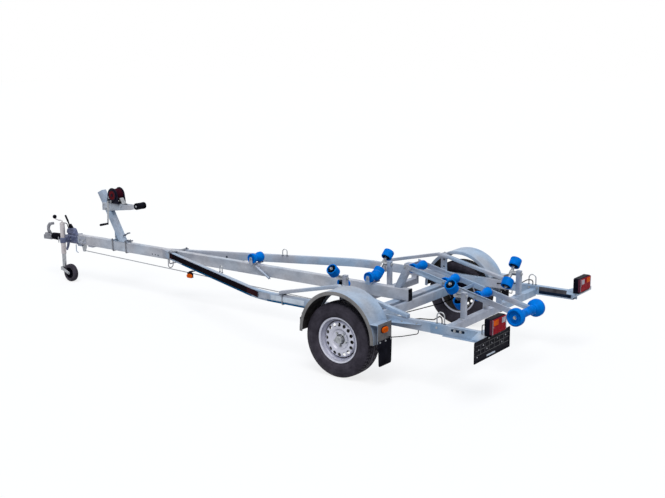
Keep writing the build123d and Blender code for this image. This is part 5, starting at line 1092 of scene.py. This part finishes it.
class TRAILER_OT_hitch(bpy.types.Operator):
    """Overrun housing, pleated bellows, coupling head and its handle, parking brake lever"""

    bl_idname = "trailer.hitch"
    bl_label = "Hitch"

    def execute(self, context):
        bm = softened("overrun_housing")
        for face in bm.faces:
            if (TO_METRES.inverted() @ face.calc_center_median()).x < CAST_TO:
                face.material_index = 1
        settle(bm, "overrun_casting", "cast_grey", replaces=("overrun_housing",), edge=3.2, segments=3, smooth=32,
               further=("galvanised",))
        bm = bmesh.new()
        rounded_slab(bm, [(ahead, -30, height) for ahead, height in LEVER_SEAT], (0, 60, 0), 12, 5)
        piece(bm, "brake_lever_seat", "cast_grey", edge=4, segments=3, smooth=40)
        pleats = [(25.6, 0.5), (44, 0.5)]
        for pleat in range(PLEATS):
            start, big = 3 + pleat * PLEAT_PITCH, PLEAT_RADIUS - 0.6 * pleat
            pleats += [(big - 1.5, start), (big, start + 3), (big - 1.2, start + 5.6), (big - 8, start + 9.2),
                       (big - 9, start + 11.6), (big - 8, start + 13.8)]
        pleats += [(37.5, 183), (37.5, 184.8), (25.6, 184.8)]
        forward = Matrix.Translation((BELLOWS_AT, 0, DRAW_Z)) @ Matrix.Rotation(math.pi / 2, 4, "Y")
        turned("pleated_bellows", "black_rubber", pleats, forward, 40, replaces=("draw_bellows",), smooth=60)
        dressed("coupling_head", "coupling_pressing", "worn_zinc", edge=3, segments=3, smooth=32)
        dressed("coupling_handle", "coupling_grip", "worn_zinc", edge=6, segments=4, smooth=32)
        bm = bmesh.new()
        for side in (-1, 1):
            for ahead, across, height, size in ((5006, 29.5, 466, 8.5), (4395, 35, 485, 10), (4465, 35, 485, 10),
                                                (4655, 17, 566, 8.5)):
                hex_bolt(bm, (ahead, side * across, height), (0, side, 0), size)
            for height in (440, 525):
                hex_bolt(bm, (4510, side * 40.5, height), (1, 0, 0), 6.2)
        for ahead in (4625, 4670):
            disc(bm, (ahead, 37, 474), (0, 1, 0), 6, 6, 10, 3.5)
        piece(bm, "hitch_bolts", "bright_zinc", smooth=30)
        self.brake_lever()

        # bracket, hook and plate below the beam's front end
        bm = bmesh.new()
        block(bm, (4452, -20, 404), (4520, 20, BEAM_BOTTOM + 0.5))
        bent_rod(bm, ((4560, 14, 415), (4560, 14, 335), (4528, 14, 322)), 5.5, 18, 10, 4)
        block(bm, (4250, -26, 415), (4330, 26, BEAM_BOTTOM + 0.5))
        piece(bm, "underside_brackets", "galvanised", edge=1)
        return {"FINISHED"}

    def brake_lever(self):
        bm = bmesh.new()
        bent_rod(bm, LEVER, 8.5, 50, 12)
        disc(bm, (4655, -8.5, 566), (0, 1, 0), 19, 17, 28)
        foot, tip = LEVER_GRIP
        rod(bm, foot, tip, 11.2, 18)
        disc(bm, tip, tip - foot, 11.2, 4.5, 18, 7.5)
        piece(bm, "parking_brake_lever", "black_plastic", replaces=("handbrake_lever",), smooth=40)
        place = put((4650, 0, 584), (0.34, 0, 1))
        turned("brake_lever_boot", "black_rubber", BRAKE_BOOT, place, 28, closed=False, smooth=50)
        bm = bmesh.new()
        bent_rod(bm, ((4676, 16, 585), (4705, 16, 650), (4762, 16, 650), (4778, 16, 615)), 4.8, 24)
        piece(bm, "brake_release_hook", "black_paint", smooth=40)


# ---------------------------------------------------------------- jockey wheel
JOCKEY_AHEAD, JOCKEY_Y = 4655, 120
JOCKEY_WHEEL = Vector((4545, JOCKEY_Y, 102))
JOCKEY_TUBE = (
    (23.4, 314.5), (27.6, 314.5), (28, 315.5), (28, 659), (29, 660), (29, 670), (25, 680), (12, 685), (9, 685),
    (9, 660), (23.4, 660),
)
JOCKEY_KNOB = Vector((130, 0, 735.5))
JOCKEY_CRANK = ((0, 670), (0, 706), (60, 700), (98, 708), (130, 712), (130, 733))
JOCKEY_TYRE = (
    (62, 22), (64, 25.5), (72, 28), (84, 28.8), (92.5, 27.5), (98, 23.5), (100.8, 17), (101.8, 11), (100, 10), (100, 7),
    (102, 6),
)
JOCKEY_CENTRE = ((8.7, 33), (18, 33), (20, 30), (20, 6), (56, 4.5), (58.5, 21.5), (62.5, 22.5))


class TRAILER_OT_jockey(bpy.types.Operator):
    """Jockey wheel with its clamp, winding handle, fork and rubber-tyred wheel"""

    bl_idname = "trailer.jockey"
    bl_label = "Jockey wheel"

    def execute(self, context):
        foot = Vector((JOCKEY_AHEAD, JOCKEY_Y, 0))
        bm = bmesh.new()
        spun(bm, JOCKEY_TUBE, 36, place=Matrix.Translation(foot))
        bent_rod(bm, [foot + Vector((ahead, 0, height)) for ahead, height in JOCKEY_CRANK], 6.2, 12, 12)
        piece(bm, "jockey_outer_tube", "tube_zinc", replaces=("jockey_tube",), smooth=40)
        bm = bmesh.new()
        knob = Matrix.Translation(foot + JOCKEY_KNOB)
        bmesh.ops.create_uvsphere(bm, u_segments=24, v_segments=16, radius=23.5, matrix=knob)
        piece(bm, "jockey_handle_knob", "black_plastic", smooth=60)
        dressed("jockey_clamp", "jockey_clamp_block", "cast_grey", slot="zinc_plated", edge=2.2)
        bm = bmesh.new()
        rod(bm, foot + Vector((20, 18, 474)), foot + Vector((62, 18, 474)), 6.2, 14)
        rod(bm, foot + Vector((60, 18, 440)), foot + Vector((60, 18, 508)), 5.2, 12)
        piece(bm, "jockey_clamp_handle", "bright_zinc", smooth=40)

        dressed("jockey_fork", "jockey_fork_pressing", "bright_zinc", body="jockey_fork", edge=1.2)
        place = across_place(JOCKEY_WHEEL.x, JOCKEY_WHEEL.z, JOCKEY_WHEEL.y)
        turned("jockey_wheel_tyre", "tyre_rubber", both_ways(JOCKEY_TYRE), place, body="jockey_wheel", slot="rubber",
               replaces=("jockey_wheel",), smooth=40)
        bm = bmesh.new()
        spun(bm, both_ways(JOCKEY_CENTRE), 40)
        webs(bm, 6, 19, 59, 2.2, 4.5, 19)
        piece(bm, "jockey_wheel_centre", "black_plastic", place=place, body="jockey_wheel", slot="rubber")
        bm = bmesh.new()
        for end in (-1, 1):
            hex_bolt(bm, JOCKEY_WHEEL + Vector((0, end * 38.2, 0)), (0, end, 0), 10)
        piece(bm, "jockey_axle_nuts", "bright_zinc", body="jockey_fork", smooth=30)
        return {"FINISHED"}


# ---------------------------------------------------------------- lamps, reflectors, flaps and board
LAMP_Y, LAMP_LOW, LAMP_HIGH = 798, 554.5, 667.5
TAIL = -1331
MARKER_AHEAD, MARKER_Z, MARKER_OUT = 2330, 412, 75.2
REFLECTOR_Y, REFLECTOR_Z = 1015, 476
LAMP_FIELDS = (
    # name, finish, inner and outer edge from the lamp's middle, bottom, top, set back, CAD nodes replaced
    ("tail_lamp_red_fields", "red_lens", -100, 100, LAMP_LOW, LAMP_HIGH, 1.2, ("tail_lamp_lenses",)),
    ("tail_lamp_amber_fields", "amber_lens", 18, 93, 618, 662.5, 0, ()),
    ("tail_lamp_clear_fields", "clear_lens", -93, -33, 618, 662.5, 0, ()),
    ("tail_lamp_outer_ends", "clear_lens", 98.5, 107.8, LAMP_LOW, LAMP_HIGH, 2, ()),
    ("tail_lamp_inner_ends", "clear_lens", -107.8, -98.5, LAMP_LOW, LAMP_HIGH, 2, ()),
)


class TRAILER_OT_lamps(bpy.types.Operator):
    """Tail lamps with amber, clear and red fields, side markers and reflectors"""

    bl_idname = "trailer.lamps"
    bl_label = "Lamps and reflectors"

    def execute(self, context):
        dressed("tail_lamps", "tail_lamp_housings", "black_plastic", edge=5, segments=3)
        for name, look, inner, outer, low, high, back, replaces in LAMP_FIELDS:
            corners = [((TAIL + back, LAMP_Y + inner, low), (TAIL + 11.8, LAMP_Y + outer, high))]
            blocks(name, look, corners, True, replaces=replaces, edge=3.5, segments=3)
        screws, bases, lenses = (bmesh.new() for _ in range(3))
        for _, side in SIDES:
            for across in (-94, 94):
                disc(screws, (TAIL + 1.6, side * (LAMP_Y + across), 611), (-1, 0, 0), 3.6, 1.2, 14)
            oval(bases, Vector((FLAP_AHEAD - 4, side * REFLECTOR_Y, REFLECTOR_Z)), (0, 43.5, 0), 27, (3.8, 0, 0))
            oval(lenses, Vector((FLAP_AHEAD - 17.8, side * REFLECTOR_Y, REFLECTOR_Z)), (0, 38.5, 0), 22, (15, 0, 0))
            marker = Vector((MARKER_AHEAD, side * (rail_line_y(MARKER_AHEAD) + MARKER_OUT), MARKER_Z))
            outward = Vector((0, side, 0))
            oval(lenses, marker + outward * 3, (35, 0, 0), 19, outward * 18)
            block(bases, marker + Vector((-38.5, -4.5, -16)), marker + Vector((38.5, 4.5, 33)))
            oval(bases, marker + outward * 0.5, (37.5, 0, 0), 21.5, outward * 5)
        piece(screws, "tail_lamp_screws", "bright_zinc", smooth=40)
        corners = [((TAIL + 3, LAMP_Y - 113.6, LAMP_LOW), (TAIL + 26, LAMP_Y + 113.6, LAMP_HIGH))]
        blocks("tail_lamp_lens_sides", "lens_side", corners, True, edge=4, segments=3)
        piece(bases, "reflector_bases", "black_plastic", edge=1, smooth=40)
        piece(lenses, "side_reflector_lenses", "amber_lens", replaces=("side_reflectors",), edge=3, segments=3,
              smooth=40)
        return {"FINISHED"}


BOARD_SCREWS = (
    # across, height from the board's middle
    (610, 30), (668, -12), (742, 36), (830, 22), (905, -6), (962, 34), (1030, 12), (1052, -40),
)
BOARD_RIBS = (640, 705, 790, 870, 935, 1000)


class TRAILER_OT_flaps(bpy.types.Operator):
    """Rubber mudflaps with clamp bars and the blank number plate board"""

    bl_idname = "trailer.flaps"
    bl_label = "Flaps and board"

    def execute(self, context):
        dressed("mudflaps", "mudflap_sheets", "black_rubber", edge=1.2)
        bm = bmesh.new()
        for _, side in SIDES:
            for across in (930, 1005, 1080):
                hex_bolt(bm, (FLAP_AHEAD - 5, side * across, 384), (-1, 0, 0), 5.8)
        piece(bm, "mudflap_bolts", "bright_zinc", smooth=30)
        low, high = cad_corners("number_plate_board")
        middle = (low.z + high.z) / 2
        bm = bmesh.new()
        corners = ((low.y, low.z), (high.y, low.z), (high.y, high.z), (low.y, high.z))
        face = low.x + 4.5
        rounded_slab(bm, [(face, across, height) for across, height in corners], (high.x - face, 0, 0), 10, 5)
        rims = bmesh.new()
        for y0, z0, y1, z1 in (
            (low.y, low.z, high.y, low.z + 10), (low.y, high.z - 10, high.y, high.z),
            (low.y, low.z + 5, low.y + 10, high.z - 5), (high.y - 10, low.z + 5, high.y, high.z - 5),
        ):
            block(rims, (low.x, y0 + 0.4, z0 + 0.4), (low.x + 5, y1 - 0.4, z1 - 0.4))
        join(bm, rims)
        piece(bm, "number_board_moulding", "black_plastic", replaces=("number_plate_board",), edge=1, smooth=32)
        strip = [((low.x + 3, 775, low.z + 14), (low.x + 4.6, 905, low.z + 27))]
        blocks("number_board_blank_strip", "label_pale", strip, edge=0.4)
        bm = bmesh.new()
        for across, height in BOARD_SCREWS:
            disc(bm, (low.x + 4.6, across, middle + height), (-1, 0, 0), 6, 3, 16, 4.5)
        piece(bm, "number_board_screws", "worn_zinc", smooth=40)
        back, front = low.x + 2.2, low.x + 5
        ribs = [((back, low.y + 20, middle + up), (front, high.y - 20, middle + up + 4.5)) for up in (-28, 8, 46)]
        ribs += [((back, across, middle - 24), (front, across + 6, middle + 52)) for across in BOARD_RIBS]
        blocks("number_board_ribs", "board_ribs", ribs, edge=0.8)
        return {"FINISHED"}


# ---------------------------------------------------------------- fasteners and rods
BOLTS = (
    # direction, on both sides, then station, across, height and size of each
    ((0, 1, 0), True, (
        (4010, 35, 935, 8.5), (3975, 35, 893, 8.5), (3720, 35, 935, 7.5), (3770, 35, 950, 6),
        (1596, 34, 428, 8), (1770, 34, 522, 7.5), (-962, 825, 508, 8.5), (-1014, 825, 508, 8.5),
        (-800, 824, 507, 7), (-47, 119, cradle_middle(-47) - 4, 7.5), (-597, 119, cradle_middle(-597) - 4, 7.5),
        (-845, 119, 528, 7.5), (408, 820, 442.5, 7.5),
    )),
    ((0, 1, 0), False, (
        (3870, 4, 585, 8),
    )),
    ((0, 0, 1), True, (
        (1805, 56, 544, 6), (1767, 56, 544, 6), (425, 386, 436, 7.8), (425, 318, 436, 7.8),
        (-845, 515.5, 511, 7.8), (-845, 447.5, 511, 7.8), (-492, 846, 509, 7), (-622, 833, 509, 6.2),
        (-417, 930, 522, 5.5), (110, 828, 710, 7),
    )),
    ((0, -1, 0), True, (
        (-806, 772, 515, 8.2), (-806, 772, 475, 8.2), (-884, 772, 515, 8.2),
    )),
    ((-1, 0, 0), False, (
        (-1288, 890, 527, 5),
    )),
    ((-1, 0, 0), True, (
        (-1282, 700, 525, 5.5),
    )),
    ((0, 0, -1), True, (
        (158, 810, 430, 8), (32, 810, 430, 8),
    )),
)
BEAM_HOLES = ((3255, 462), (3210, 460), (3166, 458))
CARRIER_SLOT = ((-1048, 497.5), (-928, 497.5), (-928, 518.5), (-1048, 518.5))
RAIL_HOLE = 2420
FRAME_CLAMP, GUIDE_LOOP = 2890, 3007
EYE_REAR, EYE_FRONT = -823, 1812
RAIL_CLIP, RAIL_CLIP_HALF = 763, 24.5
RAIL_ANGLE = math.radians(20.2)


class TRAILER_OT_fasteners(bpy.types.Operator):
    """Bolts, clamps, guide loop, eye bolts and the foot nuts of the tie-down eyes"""

    bl_idname = "trailer.fasteners"
    bl_label = "Fasteners"

    def execute(self, context):
        bm = bmesh.new()
        for (forward, left, up), both, bolts in BOLTS:
            for ahead, across, height, size in bolts:
                for side in (1, -1) if both else (1,):
                    hex_bolt(bm, (ahead, side * across, height), (forward, side * left, up), size, 3.5)
        piece(bm, "frame_bolts", "bright_zinc", smooth=30)
        rods, nuts = bmesh.new(), bmesh.new()
        self.clamps(rods, nuts)
        self.rail_clips(rods, nuts)
        self.adjusters(nuts)
        piece(rods, "clamp_rods", "worn_zinc", replaces=("frame_clamps",), smooth=40)
        piece(nuts, "clamp_nuts_and_plates", "clamp_steel", smooth=30)
        # Thin dark discs and slots stand on the beam, rails and carriers as painted shade in their holes.
        bm = bmesh.new()
        for side in (-1, 1):
            for ahead, height in BEAM_HOLES:
                disc(bm, (ahead, side * 30, height), (0, side, 0), 7.5, 0.3, 18)
            disc(bm, (RAIL_HOLE, side * (rail_line_y(RAIL_HOLE) - 21.2), 484), (-0.36, -side, 0), 11.5, 1.2, 18)
            slot = bmesh.new()
            rounded_slab(slot, [(ahead, side * 823.6, height) for ahead, height in CARRIER_SLOT], (0, side, 0), 9.8, 5)
            join(bm, slot)
        piece(bm, "open_holes", "dark_recess", smooth=30)
        return {"FINISHED"}

    def clamps(self, rods, nuts):
        """U-bolts of the winch post and the front of the frame, with their plates, and the cable's guide loop."""
        reach = cad_corners("frame_clamps")[1].y - 6
        for ahead, half, top, bottom, bend, foot, washer, size, tip in (
            (3893, 36, 566, 424, 10, 548, 13.5, 10.8, 10.2),
            (3677, 36, 566, 424, 10, 548, 13.5, 10.8, 10.2),
            (FRAME_CLAMP, reach, 554, 418, 12, 540, 14, 11.2, 10.5),
        ):
            u_bolt(rods, ahead, half, -half, top, bottom, 5.8, bend)
            for across in (-half, half):
                disc(nuts, (ahead, across, foot), UP, washer, 2, 20)
                disc(nuts, (ahead, across, foot + 2), UP, size, 8, 6, tip)
        u_bolt(rods, GUIDE_LOOP, 35, -35, 456, 340, 5, 34.5, steps=9)
        for side in (-1, 1):
            near, far = side * 30.5, side * (reach + 14)
            corners = ((-25, near), (25, near), (25, far), (-25, far))
            slab(nuts, [(FRAME_CLAMP + ahead, across, RAIL_TOP) for ahead, across in corners], (0, 0, 5))

    def rail_clips(self, rods, nuts):
        """Small U-bolt that holds the cables under each rail, and the nuts of the tie-down eyes."""
        for _, side in SIDES:
            ends = [side * (RAIL_Y + RAIL_CLIP_HALF), side * (RAIL_Y - RAIL_CLIP_HALF)]
            u_bolt(rods, RAIL_CLIP, *ends, RAIL_TOP + 1, RAIL_BOTTOM - 7, 4, 8, 10, 4)
            plate = Vector((RAIL_CLIP, side * RAIL_Y, RAIL_TOP))
            block(nuts, plate - Vector((15, 32, 0.5)), plate + Vector((15, 32, 2.5)))
            for across in ends:
                disc(nuts, (RAIL_CLIP, across, RAIL_TOP + 2), UP, 7.8, 6, 6)
            for ahead, across, half, angle in ((EYE_REAR, RAIL_Y, 34, 0),
                                               (EYE_FRONT, rail_line_y(EYE_FRONT) - 27, 24, RAIL_ANGLE)):
                for end in (-half, half):
                    foot = (ahead + end * math.cos(angle), side * (across - end * math.sin(angle)), RAIL_TOP - 0.5)
                    disc(nuts, foot, UP, 10, 6.5, 6, 9.5)

    def adjusters(self, nuts):
        """Adjusting bolts with cross handles behind the winch post."""
        for x0, z0, x1, z1 in ((3742, 605, 3660, 643), (3700, 555, 3618, 560)):
            start, end = Vector((x0, 0, z0)), Vector((x1, 0, z1))
            rod(nuts, start, end, 7, 14)
            rod(nuts, end - Vector((0, 20, 0)), end + Vector((0, 20, 0)), 8, 14)
            disc(nuts, start + (end - start) * 0.28, end - start, 13.5, 9, 6)


# ---------------------------------------------------------------- stage
CAMERA_AT = (-4622.82, 7208.97, 2650.15)
YAW, PITCH, ROLL = -0.92304, -0.20191, -0.00629
LIGHT_RUN = (0.30, -0.40, -1.0)
FLOOR_HALF = 60
GLOW, GLOW_SHARE = 1.44, 0.55


def looked_at(tree):
    """1 for what the camera sees directly, or in or through a shiny or clear surface."""
    seen = add_node(tree, "LightPath").outputs
    highest = seen["Is Camera Ray"]
    for ray in ("Is Glossy Ray", "Is Transmission Ray"):
        highest = add_node(tree, "Math", {0: highest, 1: seen[ray]}, operation="MAXIMUM").outputs[0]
    return highest


class TRAILER_OT_stage(bpy.types.Operator):
    """Plain pale floor, even soft light and the camera"""

    bl_idname = "trailer.stage"
    bl_label = "Stage"

    def execute(self, context):
        settings = context.scene.trailer_stage
        for name in ("Cube", "Light", "Camera"):
            if name in bpy.data.objects:
                bpy.data.objects.remove(bpy.data.objects[name])
        self.floor()
        self.light(settings)
        self.camera(settings)
        context.scene.view_settings.view_transform = "Standard"
        return {"FINISHED"}

    def floor(self):
        bm = bmesh.new()
        bmesh.ops.create_grid(bm, x_segments=1, y_segments=1, size=FLOOR_HALF)
        floor = object_of(bm, "floor")
        pale = bpy.data.materials.new("pale_floor")
        pale.use_nodes = True
        tree = pale.node_tree
        surface = tree.nodes["Principled BSDF"]
        for socket, value in (("Base Color", (0.40, 0.40, 0.41, 1)), ("Roughness", 0.9), ("Specular IOR Level", 0.1)):
            surface.inputs[socket].default_value = value
        bright = add_node(tree, "Emission", {"Color": (1, 1, 1, 1), "Strength": GLOW})
        level = add_node(tree, "Math", {0: looked_at(tree), 1: GLOW_SHARE}, operation="MULTIPLY")
        mix = add_node(tree, "MixShader", {0: level.outputs[0], 1: surface.outputs[0], 2: bright.outputs[0]})
        feed(tree, tree.nodes["Material Output"].inputs["Surface"], mix.outputs[0])
        floor.data.materials.append(pale)

    def light(self, settings):
        """Soft sky, warm below and cool above, that looks white to the camera, and a wide sun."""
        world = bpy.context.scene.world = bpy.data.worlds.new("even_light")
        world.use_nodes = True
        tree = world.node_tree
        split = add_node(tree, "SeparateXYZ", {0: add_node(tree, "TexCoord").outputs["Generated"]})
        lift = add_node(tree, "MapRange", {"Value": split.outputs["Z"], "From Min": -1, "From Max": 1})
        sky = blend(tree, lift.outputs["Result"], (0.44, 0.78), ((0.56, 0.51, 0.47), (0.76, 0.92, 1.10)))
        even = tree.nodes["Background"]
        feed(tree, even.inputs["Color"], sky)
        feed(tree, even.inputs["Strength"], settings.sky_level)
        white = add_node(tree, "Background", {"Color": (1, 1, 1, 1), "Strength": 1})
        mix = add_node(tree, "MixShader", {0: looked_at(tree), 1: even.outputs[0], 2: white.outputs[0]})
        feed(tree, tree.nodes["World Output"].inputs["Surface"], mix.outputs[0])
        lamp = bpy.data.lights.new("overhead_light", "SUN")
        lamp.energy = settings.sun_level
        lamp.angle = settings.sun_spread
        lamp.color = (1.0, 0.975, 0.93)
        turn = Vector(LIGHT_RUN).to_track_quat("-Z", "Y").to_matrix().to_4x4()
        placed(lamp, "overhead_light").matrix_world = turn

    def camera(self, settings):
        forward = Vector((math.cos(PITCH) * math.cos(YAW), math.cos(PITCH) * math.sin(YAW), math.sin(PITCH)))
        right = Vector((math.sin(YAW), -math.cos(YAW), 0))
        up = right.cross(forward)
        right, up = math.cos(ROLL) * right + math.sin(ROLL) * up, -math.sin(ROLL) * right + math.cos(ROLL) * up
        lens = bpy.data.cameras.new("view_camera")
        lens.sensor_fit = "HORIZONTAL"
        lens.sensor_width = 36.0
        lens.lens = settings.focal_length
        lens.clip_end = 200.0
        camera = placed(lens, "view_camera")
        turn = Matrix((right, up, -forward)).transposed().to_4x4()
        camera.matrix_world = Matrix.Translation(TO_METRES @ Vector(CAMERA_AT)) @ turn
        bpy.context.scene.camera = camera


OPERATORS = (
    TRAILER_OT_stage,
    TRAILER_OT_finishes,
    TRAILER_OT_wheels,
    TRAILER_OT_mudguards,
    TRAILER_OT_steelwork,
    TRAILER_OT_stripes,
    TRAILER_OT_keel_rollers,
    TRAILER_OT_side_rollers,
    TRAILER_OT_winch,
    TRAILER_OT_hitch,
    TRAILER_OT_jockey,
    TRAILER_OT_lamps,
    TRAILER_OT_flaps,
    TRAILER_OT_fasteners,
)


class TRAILER_PT_panel(bpy.types.Panel):
    """Lists the trailer's pieces"""

    bl_idname = "TRAILER_PT_panel"
    bl_label = "Boat trailer"
    bl_space_type = "VIEW_3D"
    bl_region_type = "UI"
    bl_category = "Boat trailer"

    def draw(self, context):
        for operator in OPERATORS:
            self.layout.operator(operator.bl_idname)
        for name, group in SETTINGS:
            box = self.layout.box()
            settings = getattr(context.scene, name)
            for field in group.__annotations__:
                box.prop(settings, field)


def register():
    for name, group in SETTINGS:
        bpy.utils.register_class(group)
        setattr(bpy.types.Scene, name, bpy.props.PointerProperty(type=group))
    for operator in OPERATORS:
        bpy.utils.register_class(operator)
    bpy.utils.register_class(TRAILER_PT_panel)


def unregister():
    bpy.utils.unregister_class(TRAILER_PT_panel)
    for operator in reversed(OPERATORS):
        bpy.utils.unregister_class(operator)
    for name, group in reversed(SETTINGS):
        delattr(bpy.types.Scene, name)
        bpy.utils.unregister_class(group)


def main():
    register()
    for operator in OPERATORS:
        group, verb = operator.bl_idname.split(".")
        getattr(getattr(bpy.ops, group), verb)()


if __name__ == "__main__":
    main()
